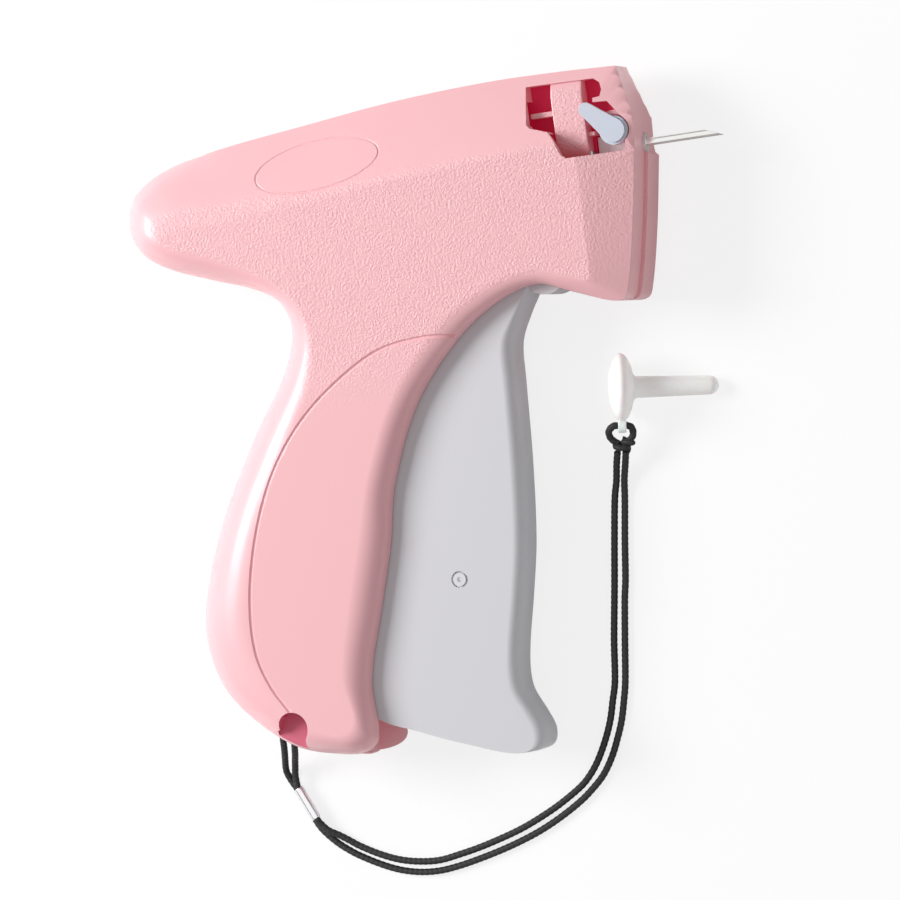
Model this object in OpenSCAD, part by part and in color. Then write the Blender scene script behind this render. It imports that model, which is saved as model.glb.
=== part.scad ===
// Garment tag attacher: a hand-held pistol-grip tool that drives plastic tag fasteners
// through a hollow needle. Millimetres. The tool lies on its right side: +X points along
// the needle, +Y from the grip up to the barrel, +Z from the right side to the left side.
// Shapes are drawn about the needle axis at the muzzle (0, 0, 0) and then moved by place().

/* [Casing] */
// Half the thickness of the tool, from the parting plane to a side face
half_width = 13.5; // [12.5:0.1:14.5]
// Half the width of the flat front of the nose
nose_half = 10.5; // [9.5:0.1:11]
// Height above the parting plane where the slanted upper flank starts
flank_start = 5.6; // [5:0.1:6.5]
// Thickness of the moulded wall
wall = 2.2; // [1.8:0.1:2.6]
// How far the lower nose of the right shell stands in front of the left one
nose_step = 1; // [0.6:0.1:1.4]
// Depth of the oval badge recess and of the line round the grip panel
recess_depth = 0.6; // [0.4:0.1:0.8]
// Length of the oval badge recess
badge_length = 32; // [28:0.5:34]
// Height of the oval badge recess
badge_height = 13; // [11:0.5:14]
// Width of the line round the grip panel
panel_line = 0.9; // [0.6:0.1:1.2]
// Radius of the lanyard notch in the heel
notch_radius = 4; // [3.6:0.1:4.2]
// Diameter of the lanyard post
post_diameter = 3; // [2.4:0.1:3.6]

/* [Fasteners] */
// Diameter of a casing screw
screw_diameter = 2.9; // [2.5:0.1:3.2]
// Diameter of a casing screw's head
screw_head = 5.2; // [4.8:0.1:5.6]
// Height of a casing screw's head
screw_head_height = 1.8; // [1.4:0.1:2.2]
// Depth that a casing screw's head is sunk below the side face
screw_sink = 2.6; // [2.4:0.1:3]
// Length of a casing screw's shank
screw_length = 14; // [12:0.5:15]
// Outer diameter of a screw boss
boss_diameter = 6.4; // [6:0.1:7]
// Radial gap of a shaft in its bore
fit_gap = 0.05; // [0.03:0.01:0.08]

/* [Trigger] */
// Half the width of the trigger
trigger_half = 7; // [6.6:0.1:7.3]
// Gap between the trigger and the casing on each side
trigger_gap = 0.35; // [0.3:0.05:0.5]
// Thickness of the trigger's cheeks
cheek = 2; // [1.6:0.1:2.4]
// Width that the rounded front edge of the trigger takes
trigger_round = 3.2; // [2.6:0.1:3.8]
// Angle the trigger turns through when it is squeezed
trigger_travel = 16; // [14:0.5:16]
// Radius of the trigger's foot about its pivot
foot_radius = 116; // [115.4:0.1:116.4]
// Gap between the trigger's foot and the heel in front of it
foot_gap = 1.4; // [1.2:0.1:1.8]
// Diameter of the trigger's pivot pin
pivot_diameter = 4; // [3.6:0.1:4.6]
// Diameter of the steel pin that drives the lever
link_diameter = 3.2; // [2.8:0.1:3.6]

/* [Lever and ram] */
// Thickness of the drive lever
lever_thickness = 3.2; // [2.6:0.1:3.6]
// Diameter of the lever's pivot pin
lever_pin_diameter = 3; // [2.6:0.1:3.4]
// Gap beside the pin in the lever's curved slot
slot_gap = 0.3; // [0.25:0.05:0.4]
// Diameter of the roller pin at the lever's upper end
roller_diameter = 5; // [4.4:0.1:5.6]
// Gap on each side of the roller pin in the ram's upright slots
roller_gap = 0.5; // [0.4:0.05:0.7]
// Stroke of the ram
stroke = 40; // [38:0.5:41]
// Length of the ram's carriage
carriage_length = 22; // [20:0.5:24]
// Half the height of the ram's carriage
carriage_half_height = 6.6; // [6:0.1:6.8]
// Half the width of the ram's carriage
carriage_half_width = 5.4; // [5:0.1:6]
// Diameter of the pusher rod
rod_diameter = 1; // [0.9:0.05:1.1]
// Outer diameter of the return spring
spring_diameter = 7; // [6:0.1:8]
// Wire diameter of the return spring
spring_wire = 0.8; // [0.7:0.05:0.9]
// Number of turns in the return spring
spring_turns = 12; // [10:1:13]

/* [Feed] */
// Outer diameter of the feed wheel
wheel_diameter = 14; // [13:0.1:14.4]
// Width of the feed wheel
wheel_width = 4; // [3:0.1:5]
// Number of teeth on the feed wheel
wheel_teeth = 14; // [12:1:16]
// Depth of the feed wheel's teeth
tooth_depth = 1.3; // [1:0.1:1.6]
// Diameter of the feed wheel's axle
axle_diameter = 3; // [2.6:0.1:3.4]
// Gap between the feed pawl's tip and the teeth
pawl_gap = 0.4; // [0.3:0.05:0.6]
// Thickness of the cutter blade and of the detent leaf
sheet = 0.5; // [0.4:0.05:0.6]
// Width of the light guide strap that shows in the window
strap_width = 7.9; // [7.4:0.1:8.4]

/* [Needle] */
// Outer diameter of the hollow needle
needle_diameter = 1.9; // [1.8:0.05:2.1]
// How far the needle's tip stands in front of the muzzle
needle_reach = 18.4; // [17:0.1:20]
// Width of the slot along the needle
needle_slot = 0.7; // [0.6:0.05:0.8]
// Length of the needle's slanted tip
needle_bevel = 5; // [4:0.1:6]
// Radial gap between the pusher rod and the needle's bore
bore_gap = 0.1; // [0.08:0.01:0.12]
// Diameter of the needle base's round snout
snout_diameter = 4.6; // [4.2:0.1:5]
// Diameter of the lock lever's round hub
hub_diameter = 7; // [6.6:0.1:7.4]
// Diameter of the lock lever's shaft
shaft_diameter = 4.3; // [4:0.1:4.4]
// Reach of the lock lever's arm from the hub's centre
arm_reach = 10; // [9:0.1:10.5]
// Width of the lock lever's arm
arm_width = 3.3; // [3:0.1:3.6]

/* [Cap and cord] */
// Diameter of the needle cap's flange
flange_diameter = 16.6; // [16:0.1:18]
// Thickness of the cap's lens-shaped flange
flange_thickness = 6.4; // [5.6:0.1:7]
// Length of the needle cap's tube, flange included
cap_length = 23.7; // [21:0.1:25]
// Diameter of the needle cap's tube at its closed end
cap_tip_diameter = 4.6; // [4.2:0.1:4.8]
// Diameter of the needle cap's tube at the flange
cap_root_diameter = 5.3; // [5:0.1:5.6]
// Diameter of the braided cord
cord_diameter = 1.8; // [1.6:0.05:1.85]
// Length of the crimped ferrule
ferrule_length = 8.9; // [8:0.1:9.4]
// Thickness of the crimped ferrule
ferrule_thickness = 2.2; // [2:0.1:2.6]

/* [Hidden] */
$fn = 48;
pink = "#F6C4C8";
deep_pink = "#D98A94";
trigger_grey = "#D5D2D4";
lock_white = "#CDD3DE";
steel = "#A9ABAE";
brass = "#C8B070";
black = "#1E1E1E";
cap_white = "#E6E6E4";

// Extreme points of the tool, which set its origin
rear_x = -133.4;
top_y = 19.6;
toe_x = -45;

// Pivots, on the plane of the needle axis
trigger_pivot = [-28.5, -27.7];
link_at = [-59.5, -98.6];
arm_length = 47;
lever_pivot = [-80, -arm_length];
wheel_at = [-31, -11.5];
pawl_at = [-46, -13.1];
lock_at = [-6, 3.4];
foot_y = trigger_pivot[1] - sqrt(pow(foot_radius, 2) - pow(toe_x - trigger_pivot[0], 2));

// The lever swings evenly about upright, so that its end travels the stroke
lever_swing = 2 * asin(stroke / 2 / arm_length);
lever_ratio = lever_swing / trigger_travel;
carriage_x = lever_pivot[0] - stroke / 2;
roller_low = arm_length * (1 - cos(lever_swing / 2));

slot_half = trigger_half + trigger_gap;
inner = half_width - wall;
rod_tip = needle_reach - stroke;
rod_radius = rod_diameter / 2;
seat_front = -33;
seat_rear = -36;
carriage_front = carriage_x + carriage_length / 2;
screw_places = [[-122, -2], [-52, -18.5], [-94, -50], [-112.5, -119], [-11, -27]];
notch_at = [-104.8, -129.6];
post_at = [-110.2, -126.6];

module place() {
    translate([-(rear_x + needle_reach) / 2, -(top_y + foot_y) / 2, half_width]) children();
}

// ---- Curves ----

function unit(v) = norm(v) < 0.001 ? [0, 0] : v / norm(v);
function turned(p, a) = [p[0] * cos(a) - p[1] * sin(a), p[0] * sin(a) + p[1] * cos(a)];
function about(p, c, a) = c + turned(p - c, a);
function after(i, n) = (i + 1) % n;
function before(i, n) = (i + n - 1) % n;

// A smooth step from a to b that leaves along da and arrives along db
function bend(a, b, da, db, t) =
    let (s = norm(b - a))
    (2 * t * t * t - 3 * t * t + 1) * a + (t * t * t - 2 * t * t + t) * s * da
    + (3 * t * t - 2 * t * t * t) * b + (t * t * t - t * t) * s * db;

// Direction of a closed row of points at point i; a sharp point has none of its own
function heading(rows, k, i, away) =
    rows[i][4] == 1 ? unit(away) : unit(rows[after(i, len(rows))][k] - rows[before(i, len(rows))][k]);

function step_point(rows, k, i, t) =
    let (j = after(i, len(rows)), a = rows[i][k], b = rows[j][k])
    bend(a, b, heading(rows, k, i, b - a), heading(rows, k, j, b - a), t);

// Rows of [outline point, side face point, flat share, roundness, sharp], made finer
function finer(rows, steps) = [
    for (i = [0 : len(rows) - 1]) for (q = [0 : steps - 1])
        let (t = q / steps, j = after(i, len(rows)))
        [step_point(rows, 0, i, t), step_point(rows, 1, i, t),
         rows[i][2] * (1 - t) + rows[j][2] * t, rows[i][3] * (1 - t) + rows[j][3] * t]
];

// How far an edge has moved from the outline to the side face at a share h of the half width
function drawn_in(flat, round_share, h) =
    h <= flat ? 0 :
    let (t = min(1, (h - flat) / max(0.001, 1 - flat)))
    (1 - round_share) * t + round_share * (1 - sqrt(max(0, 1 - t * t)));

function ring(rows, h) = [for (r = rows) r[0] + (r[1] - r[0]) * drawn_in(r[2], r[3], h)];

// A closed outline moved inwards; the outlines here run anticlockwise
function inset(p, d) = [
    for (i = [0 : len(p) - 1])
        let (v = unit(p[after(i, len(p))] - p[before(i, len(p))]))
        p[i] + d * [-v[1], v[0]]
];

// Cuts an anticlockwise outline into triangles, one corner at a time
function turn_of(a, b, c) = (b[0] - a[0]) * (c[1] - a[1]) - (b[1] - a[1]) * (c[0] - a[0]);
function holds(a, b, c, p) = turn_of(a, b, p) >= 0 && turn_of(b, c, p) >= 0 && turn_of(c, a, p) >= 0;
function is_ear(p, ids, i) =
    let (n = len(ids), a = ids[before(i, n)], b = ids[i], c = ids[after(i, n)])
    turn_of(p[a], p[b], p[c]) > 0
    && len([for (k = ids) if (k != a && k != b && k != c && holds(p[a], p[b], p[c], p[k])) k]) == 0;
function first_ear(p, ids, i = 0) =
    i >= len(ids) ? 0 : is_ear(p, ids, i) ? i : first_ear(p, ids, i + 1);
function cut_up(p, ids) =
    len(ids) == 3 ? [ids] :
    let (n = len(ids), i = first_ear(p, ids))
    concat([[ids[before(i, n)], ids[i], ids[after(i, n)]]],
           cut_up(p, [for (k = [0 : n - 1]) if (k != i) ids[k]]));

// A solid whose cross-section at each level is a ring of the rows
module lofted(rows, half, levels) {
    n = len(rows);
    m = len(levels);
    points = [for (h = levels) for (p = ring(rows, abs(h))) [p[0], p[1], h * half]];
    sides = [
        for (k = [0 : m - 2]) for (i = [0 : n - 1])
            let (a = k * n + i, b = k * n + after(i, n), c = b + n, d = a + n)
            each [[a, c, b], [a, d, c]]
    ];
    floor_faces = cut_up(points, [for (i = [0 : n - 1]) i]);
    roof_faces = [
        for (t = cut_up(points, [for (i = [0 : n - 1]) (m - 1) * n + i])) [t[2], t[1], t[0]]
    ];
    polyhedron(points, concat(sides, floor_faces, roof_faces));
}

// A flat bar with round ends, between two points
module bar(a, b, ra, rb) {
    along = unit(b - a);
    across = [-along[1], along[0]];
    translate(a) circle(ra);
    translate(b) circle(rb);
    polygon([a + across * ra, a - across * ra, b - across * rb, b + across * rb]);
}

// A band of even width along a path, with round ends
function along(path, i) = unit(path[min(i + 1, len(path) - 1)] - path[max(i - 1, 0)]);
function round_end(p, d, r) = [for (a = [60 : -30 : -60]) p + r * turned(d, a)];
function band(path, r) =
    let (n = len(path))
    concat(
        [for (i = [0 : n - 1]) path[i] + r * turned(along(path, i), 90)],
        round_end(path[n - 1], along(path, n - 1), r),
        [for (i = [n - 1 : -1 : 0]) path[i] - r * turned(along(path, i), 90)],
        round_end(path[0], -along(path, 0), r)
    );

module slab(low, high) {
    translate([0, 0, low]) linear_extrude(high - low) children();
}

module rod_z(at, radius, low, high) {
    translate([at[0], at[1], low]) cylinder(r = radius, h = high - low);
}

module rod_x(radius, low, high) {
    translate([low, 0, 0]) rotate([0, 90, 0]) cylinder(r = radius, h = high - low);
}

// ---- Casing ----

flank = flank_start / half_width;
nose_flat = nose_half / half_width;
// Outline rows, anticlockwise from the lower front corner of the nose: the outline at the
// parting plane, the edge of the flat side face, the share of the half width that is flat,
// how round the edge is, and 1 where the outline has a sharp corner
function casing_rows(step) = [
    [[-7.4 + step, -34], [-15.8, -30], nose_flat, 0.1, 0],
    [[-4.4 + step, -20], [-15.7, -20], nose_flat, 0.1, 0],
    [[-1.7 + step, -2.9], [-15.6, -7.2], nose_flat, 0.1, 1],
    [[-1.5, -2.1], [-15.6, -6.4], nose_flat, 0.1, 1],
    [[-1.1, 6.3], [-15.8, -0.4], 0.7, 0.1, 1],
    [[-3.1, 13.4], [-17.4, 0.2], 0.55, 0.1, 0],
    [[-4.7, 18.9], [-19.4, 0.8], flank, 0.15, 1],
    [[-20, top_y - 0.1], [-27, 0.8], flank, 0.15, 0],
    [[-37.6, top_y], [-38, 0.2], flank, 0.15, 0],
    [[-60.8, 18.4], [-58, -1.3], flank, 0.15, 0],
    [[-83, 16], [-80, -3.2], flank, 0.2, 0],
    [[-107.4, 13.1], [-102, -5.2], flank, 0.4, 0],
    [[-123, 9.9], [-115, -6.4], 0.25, 0.8, 0],
    [[-130.6, 5.4], [-120, -6.8], 0.1, 1, 0],
    [[rear_x, -1.4], [-121.4, -7.4], 0, 1, 0],
    [[-131.4, -8.6], [-120.6, -8.2], 0, 1, 0],
    [[-125.4, -13.6], [-116, -10.4], 0, 1, 0],
    [[-113, -18.4], [-107, -13.6], 0.1, 1, 0],
    [[-103, -21.9], [-98, -18.6], 0.1, 1, 0],
    [[-96.6, -26.2], [-90.6, -25], 0, 1, 0],
    [[-94.8, -32.8], [-86.6, -34], 0, 1, 0],
    [[-98, -42.6], [-88, -45.6], 0, 1, 0],
    [[-108, -57.4], [-96, -60.6], 0, 1, 0],
    [[-119, -76.7], [-106, -78.4], 0, 1, 0],
    [[-126, -95.2], [-112, -96], 0, 1, 0],
    [[-127.4, -106.6], [-113, -106], 0, 1, 0],
    [[-124.4, -118.4], [-110.6, -114.6], 0, 1, 0],
    [[-116.9, -127.8], [-106.6, -122], 0, 1, 0],
    [[-106.8, -134.8], [-101.4, -128.4], 0.15, 1, 0],
    [[-96, -137.6], [-96, -131.7], 0.2, 1, 0],
    [[-87.9 + 0.4 * step, -137.6 - 0.8 * step], [-91.2, -132.4], 0.35, 1, 0],
    [[-84.8 + 2.6 * step, -134.2 - 0.9 * step], [-88.8, -129], 0.55, 0.9, 0],
    [[-84.7, -120], [-90.4, -118.6], 0.55, 1, 0],
    [[-79.3, -101.3], [-85.8, -99.6], 0.55, 1, 0],
    [[-75.3, -87.3], [-81.6, -85.6], 0.55, 1, 0],
    [[-72.5, -74], [-77.6, -71.6], 0.55, 1, 0],
    [[-64, -55], [-68.4, -52.4], 0.6, 1, 0],
    [[-51.4, -40.6], [-54.6, -36.6], 0.7, 1, 0],
    [[-39.8, -32.9], [-41.4, -28.8], 0.75, 1, 0],
    [[-30, -30.4], [-30.6, -26.6], 0.75, 1, 0],
    [[-21.8, -33.2], [-22.6, -28.6], 0.75, 0.6, 0],
    [[-12.6, -36.6], [-17.4, -31], nose_flat, 0.2, 0],
    [[-9 + step, -36.8], [-16.4, -31], nose_flat, 0.1, 0],
];
casing_levels = [0, 0.2, 0.41, 0.58, 0.73, 0.86, 0.95, 1];

// The space inside one half, in two depths so that the wall stays even under the round edges
module cavity(rows) {
    depths = [half_width * 0.55, inner];
    for (depth = depths)
        translate([0, 0, -1]) linear_extrude(depth + 1)
            polygon(inset(ring(rows, depth / half_width), wall + 0.3));
}

// The space that the trigger sweeps, seen from the side
module trigger_space() {
    intersection() {
        translate(trigger_pivot) circle(foot_radius + foot_gap, $fn = 96);
        polygon([
            [-23, -24], [-23, -60], [-36, -150], [-90, -150], [-89, -118], [-84, -100],
            [-80, -86], [-77, -72], [-68, -52], [-55, -39], [-43, -30], [-36, -22],
        ]);
    }
}

// Opening in the left side where the fasteners are loaded and the needle is locked
module window_outline() {
    polygon([
        [-27, 16.9], [-27, 7.6], [-26.2, 6.6], [-21.8, 5.1], [-20.6, 3.2], [-18.9, -0.9],
        [-17.8, -1.8], [-4, -1.8], [-3.4, -0.6], [-3.4, 6], [-5, 8], [-7, 10.6], [-10.4, 10.8],
        [-10.4, 11.8], [-8.7, 12], [-8.2, 13.6], [-8.6, 15.4], [-10.2, 16.6],
    ]);
}

// Line that marks off the grip panel
panel_path = [
    [-50.7, -40.2], [-59.5, -39.5], [-71.2, -41.4], [-83.7, -48.5], [-94, -57.5], [-102, -68.7],
    [-107.8, -82.7], [-111.1, -97.1], [-111.5, -109.4], [-108.9, -118.3], [-104.7, -125.4],
];

module shell_bosses() {
    for (at = screw_places) rod_z(at, boss_diameter / 2, 0, inner + 0.3);
    rod_z(trigger_pivot, pivot_diameter / 2 + 2.4, slot_half, inner + 0.3);
    rod_z(lever_pivot, lever_pin_diameter / 2 + 2.4, slot_half, inner + 0.3);
}

module shell_bores() {
    rod_z(trigger_pivot, pivot_diameter / 2 + fit_gap, -1, inner);
    rod_z(lever_pivot, lever_pin_diameter / 2 + fit_gap, -1, inner);
    rod_z(post_at, post_diameter / 2 + fit_gap, -1, post_reach + 0.2);
    // slot that the spring seat stands in
    translate([seat_rear - 0.05, 0, -1])
        cube([seat_front - seat_rear + 0.1, seat_top + 0.05, seat_half + 1.05]);
    // round hole for the needle base's snout
    rod_x(snout_diameter / 2 + 0.2, -8, 2);
}

// What both halves share; the right one is its mirror image
mouth_half = 2 * cord_diameter + 0.4;
notch_floor = inner - 3;
post_reach = inner - 3.2;
module half_shell(step) {
    rows = casing_rows(step);
    difference() {
        union() {
            difference() {
                lofted(finer(rows, 3), half_width, casing_levels);
                cavity(rows);
            }
            intersection() {
                union() {
                    shell_bosses();
                    // webs that hold the lanyard post and close the heel behind the notch
                    slab(0, inner - 3) translate(post_at) circle(post_diameter / 2 + 1.8);
                    slab(mouth_half, notch_floor + 0.5) translate(notch_at) circle(notch_radius + 1.8);
                    children();
                }
                lofted(finer(rows, 1), half_width - 0.3, casing_levels);
            }
        }
        slab(-1, slot_half) trigger_space();
        shell_bores();
        // lanyard mouth through the underside of the heel
        slab(-1, mouth_half) translate(post_at + [-0.4, -2.5]) square([8, 12.6], center = true);
        slab(notch_floor, half_width + 1) translate(notch_at) {
            circle(notch_radius);
            polygon([[-3, 0], [-4.8, -0.2], [-7, -9], [1.8, -9], [2.1, -4.6], [3.9, 0]]);
        }
        slab(half_width - recess_depth, half_width + 1) polygon(band(panel_path, panel_line / 2));
    }
}

module left_shell() {
    place() color(pink) difference() {
        half_shell(0);
        slab(-1, half_width + 1) window_outline();
        slab(hub_low - 0.9, half_width + 1) translate(lock_at) circle(hub_diameter / 2 + 0.3);
        slab(-1, guide_high + 0.05) guide_plate(0.05);
        for (at = screw_places) rod_z(at, screw_diameter / 2 + fit_gap, -1, screw_bite + 0.5);
        // the badge is bare
        translate([-80.6, 5.6, 0]) rotate([0, 0, 5]) badge_cut();
    }
}

// Oval groove on the slanted flank
flank_tilt = atan((half_width - flank_start) / 18.6);
module badge_cut() {
    translate([0, 0, (half_width + flank_start) / 2]) rotate([-flank_tilt, 0, 0]) difference() {
        slab(-recess_depth / 2, 6) oval(badge_length, badge_height);
        slab(-recess_depth, recess_depth * 0.2) oval(badge_length - 2.4, badge_height - 2.4);
    }
}

module oval(long, high) {
    polygon([for (a = [0 : 10 : 350]) [long / 2 * cos(a), high / 2 * sin(a)]]);
}

screw_top = -(half_width - screw_head_height - screw_sink);
screw_bite = screw_top + screw_length;
module right_shell() {
    place() color(pink) mirror([0, 0, 1]) difference() {
        // the block carries the needle base
        half_shell(nose_step)
            translate([base_rear - 0.6, -6, 0]) cube([-4 - base_rear + 0.6, 12, inner + 0.3]);
        translate([base_rear - 0.05, -base_half - 0.05, -1])
            cube([base_front - base_rear + 0.1, 2 * base_half + 0.1, base_half + 1.05]);
        rod_x(snout_diameter / 2 + 0.2, -8, 2);
        rod_x(rod_radius + 0.4, base_rear - 3, base_rear + 1);
        rod_z(lock_at, shaft_diameter / 2 + 0.3, -1, 3.4);
        for (at = screw_places) {
            rod_z(at, screw_diameter / 2 + 0.2, -1, half_width + 1);
            rod_z(at, screw_head / 2 + 0.2, -screw_top, half_width + 1);
        }
    }
}

module case_screws() {
    place() color(steel) for (at = screw_places) difference() {
        union() {
            rod_z(at, screw_head / 2, screw_top - screw_head_height, screw_top);
            rod_z(at, screw_diameter / 2, screw_top - 0.1, screw_bite);
        }
        // cross recess
        for (a = [0, 90])
            translate([at[0], at[1], screw_top - screw_head_height]) rotate([0, 0, a])
                cube([screw_head * 0.6, 0.8, 1.8], center = true);
    }
}

module lanyard_post() {
    place() color(deep_pink) rod_z(post_at, post_diameter / 2, -post_reach, post_reach);
}

// ---- Trigger ----

function trigger_row(p, round_share) = [
    p, p - [trigger_round * round_share, 0], round_share > 0 ? 0.4 : 1, 1, 0
];
function foot_point(x) = [
    x, trigger_pivot[1] - sqrt(pow(foot_radius, 2) - pow(x - trigger_pivot[0], 2))
];
trigger_rows = [
    trigger_row([-35.6, -36.6], 0.6), trigger_row([-32.6, -31], 0.3), trigger_row([-32, -26], 0),
    trigger_row([-40, -29.6], 0), trigger_row([-54, -41], 0), trigger_row([-67, -55.4], 0),
    trigger_row([-75.4, -73.4], 0), trigger_row([-78.4, -86.8], 0), trigger_row([-82.6, -101], 0),
    trigger_row([-87.4, -118], 0), trigger_row(foot_point(-86.4), 0),
    trigger_row(foot_point(-74), 0), trigger_row(foot_point(-60), 0.2),
    trigger_row(foot_point(toe_x - 3), 1), trigger_row([toe_x + 1, -141.2], 1),
    trigger_row([toe_x + 2, -137.4], 1), trigger_row([-44.6, -133], 1),
    trigger_row([-47.4, -126.6], 1), trigger_row([-47.2, -118.6], 1), trigger_row([-44.2, -104], 1),
    trigger_row([-41.9, -91.5], 1), trigger_row([-40.2, -73], 1), trigger_row([-39.2, -53], 1),
    trigger_row([-38.6, -43.4], 1),
];
trigger_levels = [-1, -0.92, -0.78, -0.6, -0.4, 0, 0.4, 0.6, 0.78, 0.92, 1];

// Hollow between the cheeks, open at the back
module trigger_hollow() {
    polygon([
        [-44, -20], [-42.2, -44], [-42.2, -74], [-44.6, -92], [-47.4, -105], [-50.6, -118],
        [-51, -127], [-49, -134], [-62, -134], [-100, -124], [-92, -80], [-80, -50], [-60, -24],
    ]);
}

module trigger() {
    place() color(trigger_grey) difference() {
        union() {
            lofted(finer(trigger_rows, 2), trigger_half, trigger_levels);
            rod_z(trigger_pivot, pivot_diameter / 2 + 3.4, -trigger_half, trigger_half);
            slab(-trigger_half, trigger_half)
                bar(trigger_pivot, [-38, -37], pivot_diameter / 2 + 2.6, 4);
        }
        slab(cheek - trigger_half, trigger_half - cheek) trigger_hollow();
        rod_z(trigger_pivot, pivot_diameter / 2 + fit_gap, -20, 20);
        rod_z(link_at, link_diameter / 2 + 0.02, -20, 20);
    }
}

module trigger_pivot_pin() {
    place() color(steel) rod_z(trigger_pivot, pivot_diameter / 2, 0.2 - inner, inner - 0.2);
}

module trigger_link_pin() {
    place() color(steel) difference() {
        rod_z(link_at, link_diameter / 2, -trigger_half - 0.1, trigger_half + 0.1);
        rod_z(link_at, link_diameter / 5, trigger_half - 1, trigger_half + 1);
    }
}

// ---- Drive lever ----

// Where the link pin is, seen from the lever, after the trigger has turned by a
function pin_from_lever(a) =
    lever_pivot + turned(about(link_at, trigger_pivot, -a) - lever_pivot, lever_ratio * a);
slot_path = [for (q = [0 : 8]) pin_from_lever(trigger_travel * q / 8)];
lever_top = lever_pivot + turned([0, arm_length], lever_swing / 2);
lever_throat = lever_pivot + [-4, 15];

module drive_lever() {
    half = lever_thickness / 2;
    place() color(steel) difference() {
        slab(-half, half) {
            bar(lever_pivot, lever_throat, 5.6, 3.2);
            bar(lever_throat, lever_top, 3.2, 4.2);
            bar(lever_pivot, slot_path[8], 5.6, 5);
            bar(lever_pivot, slot_path[0], 5.6, 5);
            bar(slot_path[0], slot_path[4], 5, link_diameter / 2 + 3);
            bar(slot_path[4], slot_path[8], link_diameter / 2 + 3, 5);
        }
        slab(-half - 1, half + 1) polygon(band(slot_path, link_diameter / 2 + slot_gap));
        rod_z(lever_pivot, lever_pin_diameter / 2 + fit_gap, -20, 20);
        rod_z(lever_top, roller_diameter / 2 + 0.02, -20, 20);
    }
}

module lever_pivot_pin() {
    place() color(steel) rod_z(lever_pivot, lever_pin_diameter / 2, 0.2 - inner, inner - 0.2);
}

module lever_roller_pin() {
    reach = carriage_half_width - 0.4;
    place() color(steel) rod_z(lever_top, roller_diameter / 2, -reach, reach);
}

// ---- Ram ----

module ram_carriage() {
    neck = lever_thickness / 2 + 0.7;
    slot_width = roller_diameter + 2 * roller_gap;
    slot_top = roller_diameter / 2 + roller_gap;
    place() color(brass) translate([carriage_x, 0, 0]) difference() {
        cube([carriage_length, 2 * carriage_half_height, 2 * carriage_half_width], center = true);
        // open hollow for the lever's neck
        translate([-carriage_length / 2 + 3, -carriage_half_height - 1, -neck])
            cube([carriage_length - 6, 2 * carriage_half_height - 0.6, 2 * neck]);
        // upright slots for the roller pin
        translate([-slot_width / 2, -carriage_half_height - 1, -carriage_half_width - 1])
            cube([slot_width, carriage_half_height + 1 + slot_top, 2 * carriage_half_width + 2]);
        rod_x(rod_radius + 0.02, 0, carriage_length);
    }
}

module pusher_rod() {
    place() color(steel) rod_x(rod_radius, carriage_front - 3 + 0.02, rod_tip);
}

// A coil spring between the carriage and its seat
spring_start = carriage_front + spring_wire / 2 + 0.1;
spring_end = seat_rear - spring_wire / 2 - 0.1;
module return_spring() {
    radius = (spring_diameter - spring_wire) / 2;
    rings = spring_turns * 8;
    points = [
        for (i = [0 : rings]) for (k = [0 : 5])
            let (a = 360 * i / 8, r = radius + spring_wire / 2 * cos(60 * k))
            [spring_start + (spring_end - spring_start) * i / rings
                + spring_wire / 2 * sin(60 * k), r * cos(a), r * sin(a)]
    ];
    sides = [
        for (i = [0 : rings - 1]) for (k = [0 : 5])
            let (a = i * 6 + k, b = i * 6 + (k + 1) % 6, c = b + 6, d = a + 6)
            each [[a, b, c], [a, c, d]]
    ];
    start_face = [for (k = [0 : 5]) 5 - k];
    end_face = [for (k = [0 : 5]) rings * 6 + k];
    place() color(steel) polyhedron(points, concat(sides, [start_face, end_face]));
}

seat_half = 6;
seat_top = 15;
module spring_seat() {
    place() color(deep_pink) difference() {
        translate([seat_rear, -4.1, -seat_half])
            cube([seat_front - seat_rear, seat_top + 4.1, 2 * seat_half]);
        rod_x(rod_radius + bore_gap, seat_rear - 1, seat_front + 1);
    }
}

// ---- Feed ----

module feed_wheel() {
    pitch = 360 / wheel_teeth;
    root = wheel_diameter / 2 - tooth_depth;
    outline = [
        for (i = [0 : wheel_teeth - 1])
            each [turned([root, 0], i * pitch), turned([wheel_diameter / 2, 0], (i + 0.7) * pitch)]
    ];
    place() color(cap_white) translate([wheel_at[0], wheel_at[1], -wheel_width / 2]) difference() {
        linear_extrude(wheel_width) polygon(outline);
        translate([0, 0, -1]) cylinder(d = axle_diameter + 2 * fit_gap, h = wheel_width + 2);
    }
}

module feed_wheel_axle() {
    place() color(steel) rod_z(wheel_at, axle_diameter / 2, -inner, inner);
}

pawl_tip_x = wheel_at[0] - wheel_diameter / 2 - pawl_gap;
module feed_pawl() {
    half = wheel_width / 2;
    place() color(steel) difference() {
        slab(-half, half) {
            bar(pawl_at, [pawl_tip_x - 3, wheel_at[1] - 1], 3, 1.4);
            polygon([
                [pawl_tip_x - 3, wheel_at[1] - 2.4], [pawl_tip_x, wheel_at[1] - 1.6],
                [pawl_tip_x - 3, wheel_at[1] + 0.4],
            ]);
        }
        rod_z(pawl_at, 1.2 + fit_gap, -20, 20);
    }
}

module pawl_pin() {
    place() color(steel) rod_z(pawl_at, 1.2, -inner, inner);
}

module detent_leaf() {
    y = wheel_at[1] + wheel_diameter / 2 + 0.3;
    place() color(steel) translate([seat_front, y, -wheel_width / 2])
        cube([wheel_at[0] - seat_front + 3.5, sheet, wheel_width]);
}

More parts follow.
